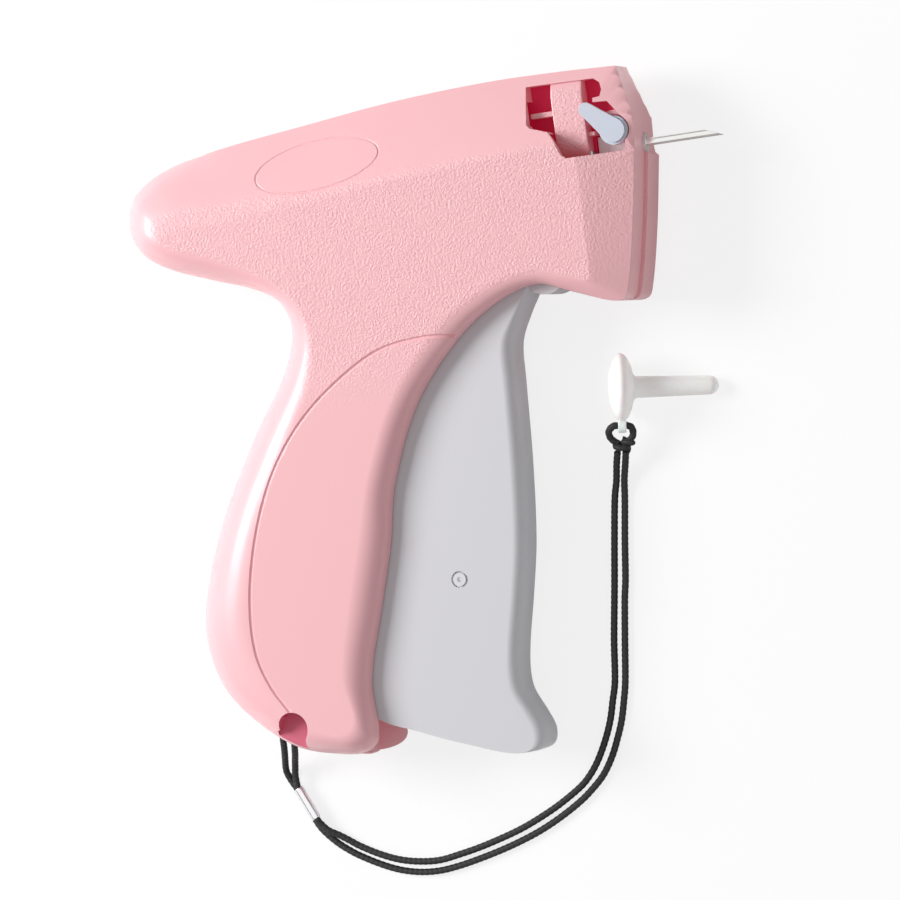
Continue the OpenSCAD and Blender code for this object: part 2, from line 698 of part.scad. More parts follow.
// Guide behind the window: a back plate, the light strap and the ribs beside it
guide_low = rod_radius + 0.7;
guide_high = guide_low + 1.2;
guide_rear = -30;
guide_foot = -3;
guide_length = 25.5;
guide_height = 20.4;
strap_x = guide_rear + 8.9;
strap_depth = 6.6;
rib_depth = 5.4;
module guide_plate(grow) {
    translate([guide_rear - grow, guide_foot - grow])
        square([guide_length + 2 * grow, guide_height + 2 * grow]);
}

module feed_guide() {
    rear_rib = 5;
    front_rib = 2.2;
    place() color(pink) difference() {
        union() {
            slab(guide_low, guide_high) guide_plate(0);
            translate([strap_x, guide_foot + 0.1, guide_low])
                cube([strap_width, guide_height - 1.8, strap_depth]);
            translate([strap_x - rear_rib + 0.1, guide_foot + 12, guide_low])
                cube([rear_rib, 1.3, rib_depth]);
            translate([strap_x + strap_width, guide_foot + 6, guide_low])
                cube([front_rib, 1, rib_depth]);
        }
        // the lock lever's shaft passes through the plate
        rod_z(lock_at, shaft_diameter / 2 + 0.4, -1, guide_high + 1);
        // room for the needle base
        translate([-12.4, -3.1, guide_low - 1]) cube([12, 6.2, 3.2 - guide_low + 1]);
    }
}

module cutter_blade() {
    place() color(steel) translate([-13.2, -2.6, guide_high]) cube([sheet, 2, 4.1]);
}

// ---- Needle ----

base_rear = -12;
base_half = 2.6;
base_front = -4.8;
snout_end = -0.6;
tail_extra = 0.2;
module needle_base() {
    place() color(steel) difference() {
        union() {
            translate([base_rear, -base_half, -base_half])
                cube([base_front - base_rear, 2 * base_half, 2 * base_half]);
            rod_x(snout_diameter / 2, base_rear + 1, snout_end);
        }
        rod_x(needle_diameter / 2 + tail_extra + 0.01, base_rear - 1, 2);
        // notch that the lock shaft turns in
        rod_z(lock_at, shaft_diameter / 2 + fit_gap, -8, 8);
    }
}

module needle() {
    radius = needle_diameter / 2;
    bore = rod_radius + bore_gap;
    place() color(steel) difference() {
        union() {
            rod_x(radius, base_rear, needle_reach);
            // thicker tail, held by the base
            rod_x(radius + tail_extra, base_rear, snout_end);
        }
        rod_x(bore, base_rear - 1, needle_reach + 1);
        // slot that the fastener's thread leaves by
        translate([base_rear - 1, 0, -needle_slot / 2]) cube([60, radius + 1, needle_slot]);
        // slanted tip
        translate([needle_reach, -radius, 0]) rotate([0, 0, atan(needle_bevel / needle_diameter)])
            translate([0, 0, -radius - 1]) cube([needle_bevel * 2, needle_bevel * 2, 2 * radius + 2]);
    }
}

hub_low = 7.4;
module needle_lock() {
    hub_high = 10.2;
    arm_low = 9.4;
    arm_high = 11.2;
    tip = lock_at + turned([arm_reach - arm_width / 2, 0], 136);
    place() color(lock_white) difference() {
        union() {
            rod_z(lock_at, hub_diameter / 2, hub_low, hub_high);
            rod_z(lock_at, shaft_diameter / 2, -3, hub_low + 0.1);
            slab(arm_low, arm_high) bar(lock_at, tip, arm_width / 2, arm_width / 2);
        }
        // flat that lets the needle base out when the lever is turned
        slab(-4, 3.2) translate(lock_at) rotate(220) translate([0.7, -5]) square([4, 10]);
    }
}

// ---- Cap and cord ----

// Swept tube along a path of points in space
function path_heading(path, i) =
    let (v = path[min(i + 1, len(path) - 1)] - path[max(i - 1, 0)]) v / norm(v);
function side_of(h) = cross(h, [0, 0, 1]) / norm(cross(h, [0, 0, 1]));
module tube(path, diameter, sides) {
    n = len(path);
    points = [
        for (i = [0 : n - 1])
            let (h = path_heading(path, i), s = side_of(h), u = cross(s, h))
            for (k = [0 : sides - 1])
                path[i] + diameter / 2 * (s * cos(360 * k / sides) + u * sin(360 * k / sides))
    ];
    walls = [
        for (i = [0 : n - 2]) for (k = [0 : sides - 1])
            let (a = i * sides + k, b = i * sides + (k + 1) % sides, c = b + sides, d = a + sides)
            each [[a, b, c], [a, c, d]]
    ];
    start_face = [for (k = [0 : sides - 1]) sides - 1 - k];
    end_face = [for (k = [0 : sides - 1]) (n - 1) * sides + k];
    polyhedron(points, concat(walls, [start_face, end_face]));
}

// The cord is doubled: two strands run side by side from the heel to the knot at the cap.
// Route points are about the needle axis at the muzzle; table_z is a strand lying on the table.
table_z = cord_diameter / 2 - half_width;
ferrule_tilt = 60;
crimp_low = ferrule_thickness / 2 - half_width;
crimp_high = crimp_low + cord_diameter * sin(ferrule_tilt) + 0.1;
strand_1_route = [
    [-111.5, -126.6, 0], [-112, -129.6, -0.8], [-113, -132.6, -3], [-113.9, -135.2, -5.6],
    [-114.9, -137.6, -8.2], [-115.8, -139.8, -10.4], [-116.1, -141.4, -11.6],
    [-115.7, -143, -12.2], [-115, -144.5, -12.4], [-114.16, -146.02, crimp_low],
    [-112.3, -150.07, crimp_low], [-110.45, -154.12, crimp_low], [-109.2, -156.4, -12.5],
    [-107.4, -158.6, table_z], [-105.1, -160.8, table_z], [-102.7, -162.6, table_z],
    [-100.2, -164.2, table_z], [-95.4, -166.7, table_z], [-90.4, -168.7, table_z],
    [-85.3, -169.8, table_z], [-80.2, -170, table_z], [-74.9, -169.3, table_z],
    [-69.5, -168.1, table_z], [-64.2, -166.7, table_z], [-58.8, -165, table_z],
    [-53.3, -162.9, table_z], [-47.8, -160.2, table_z], [-42.3, -156.9, table_z],
    [-38.8, -154.2, table_z], [-35.4, -150.9, table_z], [-32.6, -146.6, table_z],
    [-30.5, -142, table_z], [-29, -138, table_z], [-27.8, -133.3, table_z],
    [-26.8, -128.5, table_z], [-25.6, -119, table_z], [-24.3, -109.1, table_z],
    [-23.4, -103.8, table_z], [-22.3, -94.6, table_z], [-21, -84.9, table_z],
    [-20.2, -80, -11.6], [-18.9, -76, -9.6], [-17.9, -73, -7.8],
];
strand_2_route = [
    [-108.9, -127, 0], [-109.3, -130, -0.8], [-109.9, -132.8, -2.4], [-110.7, -135.2, -4.2],
    [-111.5, -137, -6.2], [-112.4, -138.7, -8.2], [-113.1, -140.4, -9.7],
    [-113.6, -142.2, -10.5], [-113.65, -143.9, -10.8], [-113.34, -145.64, crimp_high],
    [-111.48, -149.69, crimp_high], [-109.63, -153.74, crimp_high], [-108.4, -155.6, -11],
    [-106.9, -157.1, -11.1], [-104.6, -158.5, -11.7], [-102.3, -160.1, -12.2],
    [-99.9, -161.8, table_z], [-95.1, -164.3, table_z], [-90.1, -166.2, table_z],
    [-85, -167.2, table_z], [-79.8, -167.4, table_z], [-74.5, -166.5, table_z],
    [-69.1, -165.3, table_z], [-63.8, -163.8, table_z], [-58.3, -162, table_z],
    [-52.9, -159.7, table_z], [-47.4, -156.9, table_z], [-41.7, -153.3, table_z],
    [-38.8, -150.6, table_z], [-36.3, -147.2, table_z], [-33.8, -142.5, table_z],
    [-31.9, -137.8, table_z], [-30.6, -133, table_z], [-29.4, -128.2, table_z],
    [-28.3, -118.5, table_z], [-26.9, -108.8, table_z], [-26.2, -103.9, table_z],
    [-24.9, -94.2, table_z], [-23.5, -84.5, table_z], [-22.2, -79.9, -11.6],
    [-21.1, -76, -9.6], [-20, -73, -7.8],
];
hitch_route = [
    [-19.5, -70.9, -7.3], [-20.8, -69.6, -6.5], [-20.9, -67.9, -5.4], [-19.6, -66.7, -4.9],
    [-18.4, -66.65, -5.2], [-17.38, -66.75, -5.44], [-16.3, -66.86, -5.75],
    [-15.3, -67.6, -6.3], [-15.4, -69.4, -7], [-17, -71, -7.4],
];
knot_at = [-18.6, -71.6, -7.4];

module cord_strand_1() {
    place() color(black) tube(strand_1_route, cord_diameter, 8);
}

module cord_strand_2() {
    place() color(black) tube(strand_2_route, cord_diameter, 8);
}

module cord_hitch() {
    place() color(black) {
        tube(hitch_route, cord_diameter, 8);
        translate(knot_at) sphere(r = 1.25 * cord_diameter);
        translate(knot_at + [3, 1.2, 0.4]) sphere(r = 0.7 * cord_diameter);
    }
}

// Flattened tube crimped over both strands. It lies tilted, one strand above the other.
ferrule_start = [-113.75, -145.83];
ferrule_heading = unit([3.71, -8.1]);
module ferrule() {
    turn = atan2(ferrule_heading[1], ferrule_heading[0]);
    half = ferrule_thickness / 2;
    middle = half + cord_diameter / 2 * sin(ferrule_tilt);
    place() color(steel)
        translate([ferrule_start[0], ferrule_start[1], middle - half_width])
            rotate([0, 0, turn]) rotate([ferrule_tilt, 0, 0]) rotate([0, 90, 0])
                linear_extrude(ferrule_length) {
                    for (side = [-0.5, 0.5]) translate([0, side * cord_diameter]) circle(half);
                    square([2 * half, cord_diameter], center = true);
                }
}

// The cap lies on the table on its flange's rim and the end of its tube
cap_at = [-16.42, -57.6];
cap_yaw = -6;
cap_tip_radius = cap_tip_diameter / 2;
flange_radius = flange_diameter / 2;
cap_reach = cap_length - cap_tip_radius;
cap_tilt = atan(flange_radius / cap_reach) - asin(cap_tip_radius / norm([flange_radius, cap_reach]));
cap_height = norm([flange_radius * cos(cap_tilt), flange_thickness / 2 * sin(cap_tilt)]) + 0.02;
module needle_cap() {
    root = cap_root_diameter / 2;
    bulge = flange_thickness / 2;
    eye = flange_radius + 0.9;
    lens = [for (a = [-90 : 10 : 60]) [flange_radius * cos(a), bulge * sin(a)]];
    place() color(cap_white)
        translate([cap_at[0], cap_at[1], cap_height - half_width])
            rotate([0, 0, cap_yaw]) rotate([0, 90 + cap_tilt, 0]) difference() {
                union() {
                    rotate_extrude() polygon(concat(lens, [
                        [root + 0.3, bulge], [root, bulge + 0.5], [cap_tip_radius, cap_reach],
                        [0, cap_reach],
                    ]));
                    translate([0, 0, cap_reach]) sphere(r = cap_tip_radius);
                    translate([-2.2, -eye - 1.8, -1.05]) cube([4.4, 5, 2.1]);
                }
                // blind bore for the needle
                translate([0, 0, -4]) cylinder(r = needle_diameter / 2 + 0.25, h = cap_length + 1.6);
                // eye for the cord
                translate([0, -eye, -3]) cylinder(r = cord_diameter / 2 + 0.2, h = 6);
            }
}

left_shell();
right_shell();
case_screws();
lanyard_post();
trigger();
trigger_pivot_pin();
trigger_link_pin();
drive_lever();
lever_pivot_pin();
lever_roller_pin();
ram_carriage();
pusher_rod();
return_spring();
spring_seat();
feed_wheel();
feed_wheel_axle();
feed_pawl();
pawl_pin();
detent_leaf();
feed_guide();
cutter_blade();
needle();
needle_base();
needle_lock();
cord_strand_1();
cord_strand_2();
cord_hitch();
ferrule();
needle_cap();
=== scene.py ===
# %% [markdown]
# Garment tag attacher, dressed for the camera. The tool lies on its right side on a table, with
# its capped lanyard beside it. The frame that is loaded here holds every CAD piece in place, in
# metres. This script only adds finishes, finer shells and the braid of the cord around it.

# %% Load the frame
import bpy
import bmesh
from math import asin, atan, atan2, ceil, cos, pi, radians, sin, sqrt, tau
from mathutils import Matrix, Vector
from mathutils.bvhtree import BVHTree
from mathutils.geometry import intersect_line_line_2d


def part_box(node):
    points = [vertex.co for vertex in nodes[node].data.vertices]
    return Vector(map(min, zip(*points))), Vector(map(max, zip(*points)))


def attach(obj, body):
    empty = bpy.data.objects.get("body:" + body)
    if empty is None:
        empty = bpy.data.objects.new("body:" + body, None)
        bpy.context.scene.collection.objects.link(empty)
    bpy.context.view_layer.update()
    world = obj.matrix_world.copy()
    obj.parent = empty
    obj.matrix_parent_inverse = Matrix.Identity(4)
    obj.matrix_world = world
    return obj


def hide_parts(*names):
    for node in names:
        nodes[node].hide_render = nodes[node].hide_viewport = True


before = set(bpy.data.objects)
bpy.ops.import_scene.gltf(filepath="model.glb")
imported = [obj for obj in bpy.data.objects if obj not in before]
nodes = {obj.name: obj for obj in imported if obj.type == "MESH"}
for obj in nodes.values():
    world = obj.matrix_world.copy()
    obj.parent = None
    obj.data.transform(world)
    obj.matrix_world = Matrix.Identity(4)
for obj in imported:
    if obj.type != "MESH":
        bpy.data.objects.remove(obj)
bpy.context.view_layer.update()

# %% [markdown]
# Measurements are easiest to follow from a point on the object, so every size below is in
# millimetres from the needle's axis at the muzzle: x along the needle, y up to the barrel's top
# and z out of the parting plane towards the left side. The trigger's pivot pin says where that
# point is in the frame.

# %% Millimetres about the muzzle
trigger_pivot = (-28.5, -27.7)
pin_low, pin_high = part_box("trigger_pivot_pin")
muzzle = Vector((
    (pin_low.x + pin_high.x) / 2 - trigger_pivot[0] / 1000,
    (pin_low.y + pin_high.y) / 2 - trigger_pivot[1] / 1000,
    (pin_low.z + pin_high.z) / 2,
))
half_width = 13.5


def place(x, y, z=0.0):
    """A point in the frame, in metres, from millimetres about the muzzle."""
    return Vector((muzzle.x + x / 1000, muzzle.y + y / 1000, muzzle.z + z / 1000))


print("muzzle at", [round(v, 5) for v in muzzle])

# %% [markdown]
# The photograph looks down at the tool's left side, 16.5 degrees towards the needle's end, and the
# camera is rolled by 7.5 degrees, so the needle points a little upwards. A long lens from 1.2 m
# keeps the outline nearly free of perspective, as a product photograph is.

# %% Camera
view_side = radians(16.5)
view_roll = radians(7.5)
view_distance = 1.2
long_lens = 197
aim = place(-59.7, -67.2, 0)
away = Vector((sin(view_side), 0, cos(view_side)))
level = Vector((cos(view_side), 0, -sin(view_side)))
upright = Vector((0, 1, 0))
right = level * cos(view_roll) - upright * sin(view_roll)
up = level * sin(view_roll) + upright * cos(view_roll)

camera_data = bpy.data.cameras.new("product_camera")
camera_data.sensor_width = 36
camera_data.lens = long_lens
camera_data.clip_start = 0.05
camera = bpy.data.objects.new("product_camera", camera_data)
turn = Matrix((right, up, away)).transposed().to_4x4()
camera.matrix_world = Matrix.Translation(aim + away * view_distance) @ turn
bpy.context.scene.collection.objects.link(camera)
bpy.context.scene.camera = camera
print("camera at", [round(v, 3) for v in camera.location], "lens", long_lens, "mm")

# %% [markdown]
# Smooth outlines and cord routes are both drawn through a few chosen points. A Catmull-Rom curve
# passes through every one of them, which makes it the natural choice for a route.

# %% Smooth routes
def smooth_route(points, spacing):
    """A smooth curve through the points, in millimetres, about one spacing from point to point."""
    pts = [Vector(p) for p in points]
    route = []
    for i in range(len(pts) - 1):
        before = pts[max(i - 1, 0)]
        a, b = pts[i], pts[i + 1]
        beyond = pts[min(i + 2, len(pts) - 1)]
        steps = max(1, ceil((b - a).length / spacing))
        for q in range(steps):
            t = q / steps
            route.append(0.5 * (
                2 * a + (b - before) * t
                + (2 * before - 5 * a + 4 * b - beyond) * t * t
                + (3 * a - before - 3 * b + beyond) * t * t * t
            ))
    route.append(pts[-1])
    return route


def route_length(route):
    """Length of a route in metres."""
    return sum((b - a).length for a, b in zip(route, route[1:])) / 1000


# %% [markdown]
# A mesh here is always built from lists of points and faces. One function turns such lists, in
# millimetres, into an object in the frame.

# %% Meshes from points and faces
def new_object(name, points, faces, materials=(), smooth=None):
    """An object from points in millimetres. smooth is the angle, in degrees, that still blends."""
    mesh = bpy.data.meshes.new(name)
    mesh.from_pydata([place(*p) for p in points], [], faces)
    build = bmesh.new()
    build.from_mesh(mesh)
    bmesh.ops.recalc_face_normals(build, faces=build.faces)
    build.to_mesh(mesh)
    build.free()
    obj = bpy.data.objects.new(name, mesh)
    bpy.context.scene.collection.objects.link(obj)
    for material in materials:
        mesh.materials.append(material)
    if smooth is not None:
        shade(obj, smooth)
    return obj


def shade(obj, angle):
    """Blends neighbouring faces that meet at less than the angle, in degrees."""
    obj.data.shade_smooth()
    obj.data.set_sharp_from_angle(angle=radians(angle))


def bake_modifiers(obj):
    """Replaces the object's mesh by what its modifiers make of it."""
    graph = bpy.context.evaluated_depsgraph_get()
    made = bpy.data.meshes.new_from_object(obj.evaluated_get(graph), depsgraph=graph)
    old = obj.data
    obj.modifiers.clear()
    obj.data = made
    bpy.data.meshes.remove(old)


def join(parts):
    """Moves the meshes of all parts into the first one."""
    whole = parts[0]
    build = bmesh.new()
    for part in parts:
        slots = {}
        for k, material in enumerate(part.data.materials):
            names = [m.name for m in whole.data.materials]
            if material.name not in names:
                whole.data.materials.append(material)
                names.append(material.name)
            slots[k] = names.index(material.name)
        start = len(build.faces)
        build.from_mesh(part.data)
        build.faces.ensure_lookup_table()
        for face in build.faces[start:]:
            face.material_index = slots.get(face.material_index, 0)
    build.to_mesh(whole.data)
    build.free()
    for part in parts[1:]:
        bpy.data.objects.remove(part)
    return whole


# %% [markdown]
# Colours are written as sRGB hex, as a designer reads them off a chart, and Blender computes in
# linear light, so one function turns one into the other. Another adds a shader node with its
# settings and links. That is all a material needs.

# %% Colours and shader nodes
def linear(hex_colour):
    """Linear RGBA from an sRGB hex colour."""
    values = [int(hex_colour[i : i + 2], 16) / 255 for i in (1, 3, 5)]
    return [v / 12.92 if v <= 0.04045 else ((v + 0.055) / 1.055) ** 2.4 for v in values] + [1.0]


def add_node(material, kind, settings=(), links=()):
    """A new shader node: settings are its properties or unlinked inputs, links its inputs."""
    node = material.node_tree.nodes.new(kind)
    for name, value in dict(settings).items():
        if isinstance(name, str) and hasattr(node, name):
            setattr(node, name, value)
        else:
            node.inputs[name].default_value = value
    for name, source in dict(links).items():
        material.node_tree.links.new(source, node.inputs[name])
    return node


def new_material(name, colour, roughness, **inputs):
    """A Principled material and its shader node."""
    material = bpy.data.materials.new(name)
    material.use_nodes = True
    shader = material.node_tree.nodes["Principled BSDF"]
    shader.inputs["Base Color"].default_value = linear(colour)
    shader.inputs["Roughness"].default_value = roughness
    for key, value in inputs.items():
        shader.inputs[key.replace("_", " ")].default_value = value
    return material, shader


def grain(material, shader, size, depth, share=None):
    """Fine bumps of about that size, in millimetres, and of that depth; share masks them."""
    spot = add_node(material, "ShaderNodeTexCoord")
    noise = add_node(
        material, "ShaderNodeTexNoise",
        {"Scale": 1000 / size, "Detail": 2.0, "Roughness": 0.6},
        {"Vector": spot.outputs["Object"]},
    )
    bump = add_node(
        material, "ShaderNodeBump", {"Distance": depth / 1000, "Strength": 1.0},
        {"Height": noise.outputs["Fac"]},
    )
    if share is not None:
        material.node_tree.links.new(share, bump.inputs["Strength"])
    material.node_tree.links.new(bump.outputs["Normal"], shader.inputs["Normal"])


# %% [markdown]
# The lanyard is round braided polyester cord, dyed black. Braiding leaves small diamond-shaped
# bumps along it, so the tube itself gets them: its radius rises and falls where the yarns cross
# over each other. Real bumps catch the light from every side, which a flat picture of a braid
# does not. The yarn's sheen comes from a rough surface with a little sheen on top.

# %% Braided polyester
braid, braid_shader = new_material(
    "braided_polyester", "#0A0A0B", 0.66, Sheen_Weight=0.06, Sheen_Roughness=0.5
)
grain(braid, braid_shader, size=0.25, depth=0.05)

cord_diameter = 1.8
braid_pitch = 2.6
braid_yarns = 4
braid_relief = 0.16
braid_sides = 20
braid_spacing = 0.16


def braided(name, route, diameter=cord_diameter, round_end=False):
    """A braided tube along a route of close points in millimetres."""
    sides = braid_sides
    points, faces = [], []
    heading = (route[1] - route[0]).normalized()
    across = heading.orthogonal().normalized()
    travelled = 0.0
    for i, at in enumerate(route):
        following = (route[min(i + 1, len(route) - 1)] - route[max(i - 1, 0)]).normalized()
        across = (across - following * across.dot(following)).normalized()
        upward = following.cross(across)
        if i:
            travelled += (at - route[i - 1]).length
        turn_by = tau * travelled / braid_pitch
        taper = 1.0
        if round_end:
            left = (len(route) - 1 - i) * (route[1] - route[0]).length
            taper = sqrt(max(0.02, 1 - max(0.0, 1 - left / (diameter / 2)) ** 2))
        for k in range(sides):
            angle = tau * k / sides
            weave = cos(braid_yarns * angle + turn_by) * cos(braid_yarns * angle - turn_by)
            radius = diameter / 2 * (1 - braid_relief / 2 + braid_relief / 2 * weave) * taper
            points.append(at + radius * (across * cos(angle) + upward * sin(angle)))
    for i in range(len(route) - 1):
        for k in range(sides):
            a = i * sides + k
            b = i * sides + (k + 1) % sides
            faces.append((a, b, b + sides, a + sides))
    faces.append(tuple(range(sides)))
    faces.append(tuple(len(points) - sides + k for k in range(sides)))
    return new_object(name, points, faces, [braid], smooth=70)


print("braid pitch", braid_pitch, "mm on a", cord_diameter, "mm cord")

# %% [markdown]
# The cord is doubled. Its two strands leave the heel on either side of a hidden post, go through
# a crimped ferrule, lie on the table in one wide bend and climb to the knot at the needle cap.
# The routes repeat the CAD's points, so that the braid lies where the solids are.

# %% The two strands
ferrule_thick = 2.2
ferrule_tilt = radians(60)
table_z = cord_diameter / 2 - half_width
crimp_low = ferrule_thick / 2 - half_width
crimp_gap = 0.1
crimp_high = crimp_low + cord_diameter * sin(ferrule_tilt) + crimp_gap
strand_1_points = [
    (-111.5, -126.6, 0), (-112, -129.6, -0.8), (-113, -132.6, -3), (-113.9, -135.2, -5.6),
    (-114.9, -137.6, -8.2), (-115.8, -139.8, -10.4), (-116.1, -141.4, -11.6),
    (-115.7, -143, -12.2), (-115, -144.5, -12.4), (-114.16, -146.02, crimp_low),
    (-112.3, -150.07, crimp_low), (-110.45, -154.12, crimp_low), (-109.2, -156.4, -12.5),
    (-107.4, -158.6, table_z), (-105.1, -160.8, table_z), (-102.7, -162.6, table_z),
    (-100.2, -164.2, table_z), (-95.4, -166.7, table_z), (-90.4, -168.7, table_z),
    (-85.3, -169.8, table_z), (-80.2, -170, table_z), (-74.9, -169.3, table_z),
    (-69.5, -168.1, table_z), (-64.2, -166.7, table_z), (-58.8, -165, table_z),
    (-53.3, -162.9, table_z), (-47.8, -160.2, table_z), (-42.3, -156.9, table_z),
    (-38.8, -154.2, table_z), (-35.4, -150.9, table_z), (-32.6, -146.6, table_z),
    (-30.5, -142, table_z), (-29, -138, table_z), (-27.8, -133.3, table_z),
    (-26.8, -128.5, table_z), (-25.6, -119, table_z), (-24.3, -109.1, table_z),
    (-23.4, -103.8, table_z), (-22.3, -94.6, table_z), (-21, -84.9, table_z),
    (-20.2, -80, -11.6), (-18.9, -76, -9.6), (-17.9, -73, -7.8),
]
strand_2_points = [
    (-108.9, -127, 0), (-109.3, -130, -0.8), (-109.9, -132.8, -2.4), (-110.7, -135.2, -4.2),
    (-111.5, -137, -6.2), (-112.4, -138.7, -8.2), (-113.1, -140.4, -9.7),
    (-113.6, -142.2, -10.5), (-113.65, -143.9, -10.8), (-113.34, -145.64, crimp_high),
    (-111.48, -149.69, crimp_high), (-109.63, -153.74, crimp_high), (-108.4, -155.6, -11),
    (-106.9, -157.1, -11.1), (-104.6, -158.5, -11.7), (-102.3, -160.1, -12.2),
    (-99.9, -161.8, table_z), (-95.1, -164.3, table_z), (-90.1, -166.2, table_z),
    (-85, -167.2, table_z), (-79.8, -167.4, table_z), (-74.5, -166.5, table_z),
    (-69.1, -165.3, table_z), (-63.8, -163.8, table_z), (-58.3, -162, table_z),
    (-52.9, -159.7, table_z), (-47.4, -156.9, table_z), (-41.7, -153.3, table_z),
    (-38.8, -150.6, table_z), (-36.3, -147.2, table_z), (-33.8, -142.5, table_z),
    (-31.9, -137.8, table_z), (-30.6, -133, table_z), (-29.4, -128.2, table_z),
    (-28.3, -118.5, table_z), (-26.9, -108.8, table_z), (-26.2, -103.9, table_z),
    (-24.9, -94.2, table_z), (-23.5, -84.5, table_z), (-22.2, -79.9, -11.6),
    (-21.1, -76, -9.6), (-20, -73, -7.8),
]
strands = []
for number, points in enumerate((strand_1_points, strand_2_points), 1):
    route = smooth_route(points, braid_spacing)
    strand = braided(f"braided_strand_{number}", route)
    strands.append((strand, route))
    print(strand.name, round(route_length(route), 4), "m")

# %% [markdown]
# At the cap the cord passes through the eye of a small tab, comes back and is knotted round
# itself. The knot is drawn as three short lengths of the same braid: the loop through the eye, a
# turn round the two strands and the stub of the cut end.

# %% The hitch
hitch_points = [
    (-19.5, -70.9, -7.3), (-20.8, -69.6, -6.5), (-20.9, -67.9, -5.4), (-19.6, -66.7, -4.9),
    (-18.4, -66.65, -5.2), (-17.38, -66.75, -5.44), (-16.3, -66.86, -5.75),
    (-15.3, -67.6, -6.3), (-15.4, -69.4, -7), (-17, -71, -7.4),
]
knot = Vector((-18.6, -71.6, -7.4))
lie = (Vector(strand_1_points[-1]) - Vector(strand_1_points[-3])).normalized()
across_lie = lie.orthogonal().normalized()
over_lie = lie.cross(across_lie)


def turn_round(start, turns, wide, climb):
    """Points of a turn of cord round the two strands, wide millimetres from the knot's middle."""
    steps = int(24 * turns)
    made = []
    for q in range(steps + 1):
        angle = start + tau * turns * q / steps
        along = climb * (q / steps - 0.5)
        made.append(knot + lie * along + wide * (across_lie * cos(angle) + over_lie * sin(angle)))
    return made


stub_points = [knot + Vector(way) for way in ((0.4, 0.8, 0.4), (2, 0.6, 0.8), (3.6, 0.2, 0.6))]
knot_turn = turn_round(start=0.4, turns=1.35, wide=1.55, climb=1.9)
pulled_tight = 1.6
slightly_tight = 1.7
hitch = join([
    braided("cord_knot", smooth_route(hitch_points, braid_spacing)),
    braided("knot_turn", smooth_route(knot_turn, braid_spacing), pulled_tight),
    braided("knot_stub", smooth_route(stub_points, braid_spacing), slightly_tight, round_end=True),
])
print("knot of", len(hitch.data.vertices), "points")

# %% [markdown]
# A white product photograph is a pale table and light from everywhere. The world gives plain
# soft light, one broad lamp from the upper left shapes the forms, and the needle's side of the
# tool turns darker. A long low strip on the left draws the white line down the back of the grip,
# and a weak card below lifts the shadows. The camera sees pure white beyond the object, while
# polished metal sees a room that is bright overhead and dark at the horizon, as in a real studio.

# %% Floor and light
paper = bpy.data.materials.new("white_paper_sweep")
paper.use_nodes = True
paper_shader = paper.node_tree.nodes["Principled BSDF"]
paper_shader.inputs["Base Color"].default_value = linear("#FFFFFF")
paper_shader.inputs["Roughness"].default_value = 0.9
paper_shader.inputs["Specular IOR Level"].default_value = 0.1
paper_out = paper.node_tree.nodes["Material Output"]
rays = add_node(paper, "ShaderNodeLightPath")
white = add_node(paper, "ShaderNodeEmission", {"Color": linear("#FFFFFF"), "Strength": 1.0})
seen = add_node(
    paper, "ShaderNodeMath", {"operation": "MULTIPLY", 1: 0.8},
    {0: rays.outputs["Is Camera Ray"]},
)
mixed = add_node(
    paper, "ShaderNodeMixShader", (),
    {0: seen.outputs[0], 1: paper_shader.outputs[0], 2: white.outputs[0]},
)
paper.node_tree.links.new(mixed.outputs[0], paper_out.inputs["Surface"])

floor_half = 3
floor_corners = [
    (-floor_half, -floor_half, 0), (floor_half, -floor_half, 0),
    (floor_half, floor_half, 0), (-floor_half, floor_half, 0),
]
floor_mesh = bpy.data.meshes.new("table")
floor_mesh.from_pydata(floor_corners, [], [(0, 1, 2, 3)])
floor_mesh.materials.append(paper)
table = bpy.data.objects.new("table", floor_mesh)
bpy.context.scene.collection.objects.link(table)

world = bpy.data.worlds.new("soft_room")
world.use_nodes = True
bpy.context.scene.world = world
room = world.node_tree.nodes["Background"]
room.inputs["Color"].default_value = linear("#FFFFFF")
room_rays = add_node(world, "ShaderNodeLightPath")
room_level = add_node(
    world, "ShaderNodeMapRange", {"To Min": 0.34, "To Max": 1.0},
    {"Value": room_rays.outputs["Is Camera Ray"]},
)
room_way = add_node(world, "ShaderNodeTexCoord")
room_axes = add_node(
    world, "ShaderNodeSeparateXYZ", (), {"Vector": room_way.outputs["Generated"]}
)
room_height = add_node(
    world, "ShaderNodeMapRange",
    {"From Min": 0.0, "From Max": 0.75, "To Min": 0.1, "To Max": 1.2},
    {"Value": room_axes.outputs["Z"]},
)
room_mirror = add_node(
    world, "ShaderNodeMapRange", (),
    {"Value": room_rays.outputs["Is Glossy Ray"], "To Min": room_level.outputs["Result"],
     "To Max": room_height.outputs["Result"]},
)
world.node_tree.links.new(room_mirror.outputs["Result"], room.inputs["Strength"])


def soft_lamp(name, where, width, height, power):
    """A flat lamp, in metres and watts, that faces the object."""
    data = bpy.data.lights.new(name, "AREA")
    data.shape = "RECTANGLE"
    data.size = width
    data.size_y = height
    data.energy = power
    lamp = bpy.data.objects.new(name, data)
    lamp.location = where
    lamp.rotation_euler = (aim - Vector(where)).to_track_quat("-Z", "Y").to_euler()
    bpy.context.scene.collection.objects.link(lamp)


soft_lamp("window_light", (-0.85, 0.35, 0.7), width=0.5, height=0.5, power=14)
soft_lamp("strip_light", (-1.1, 0.1, 0.16), width=0.5, height=0.06, power=0.4)
soft_lamp("fill_card", (0.5, -0.9, 0.9), width=0.8, height=0.8, power=1.2)

# %% [markdown]
# The casing's form comes from its outline at the parting plane, the edge of its flat side face
# and how roundly one runs into the other. Between two chosen points an outline is a smooth curve,
# and from the parting plane up to the side face it follows a quarter of an ellipse, a straight
# slant or a mix of both. Lofting such outlines gives soft, even skins that a pushed and pulled
# box would not.

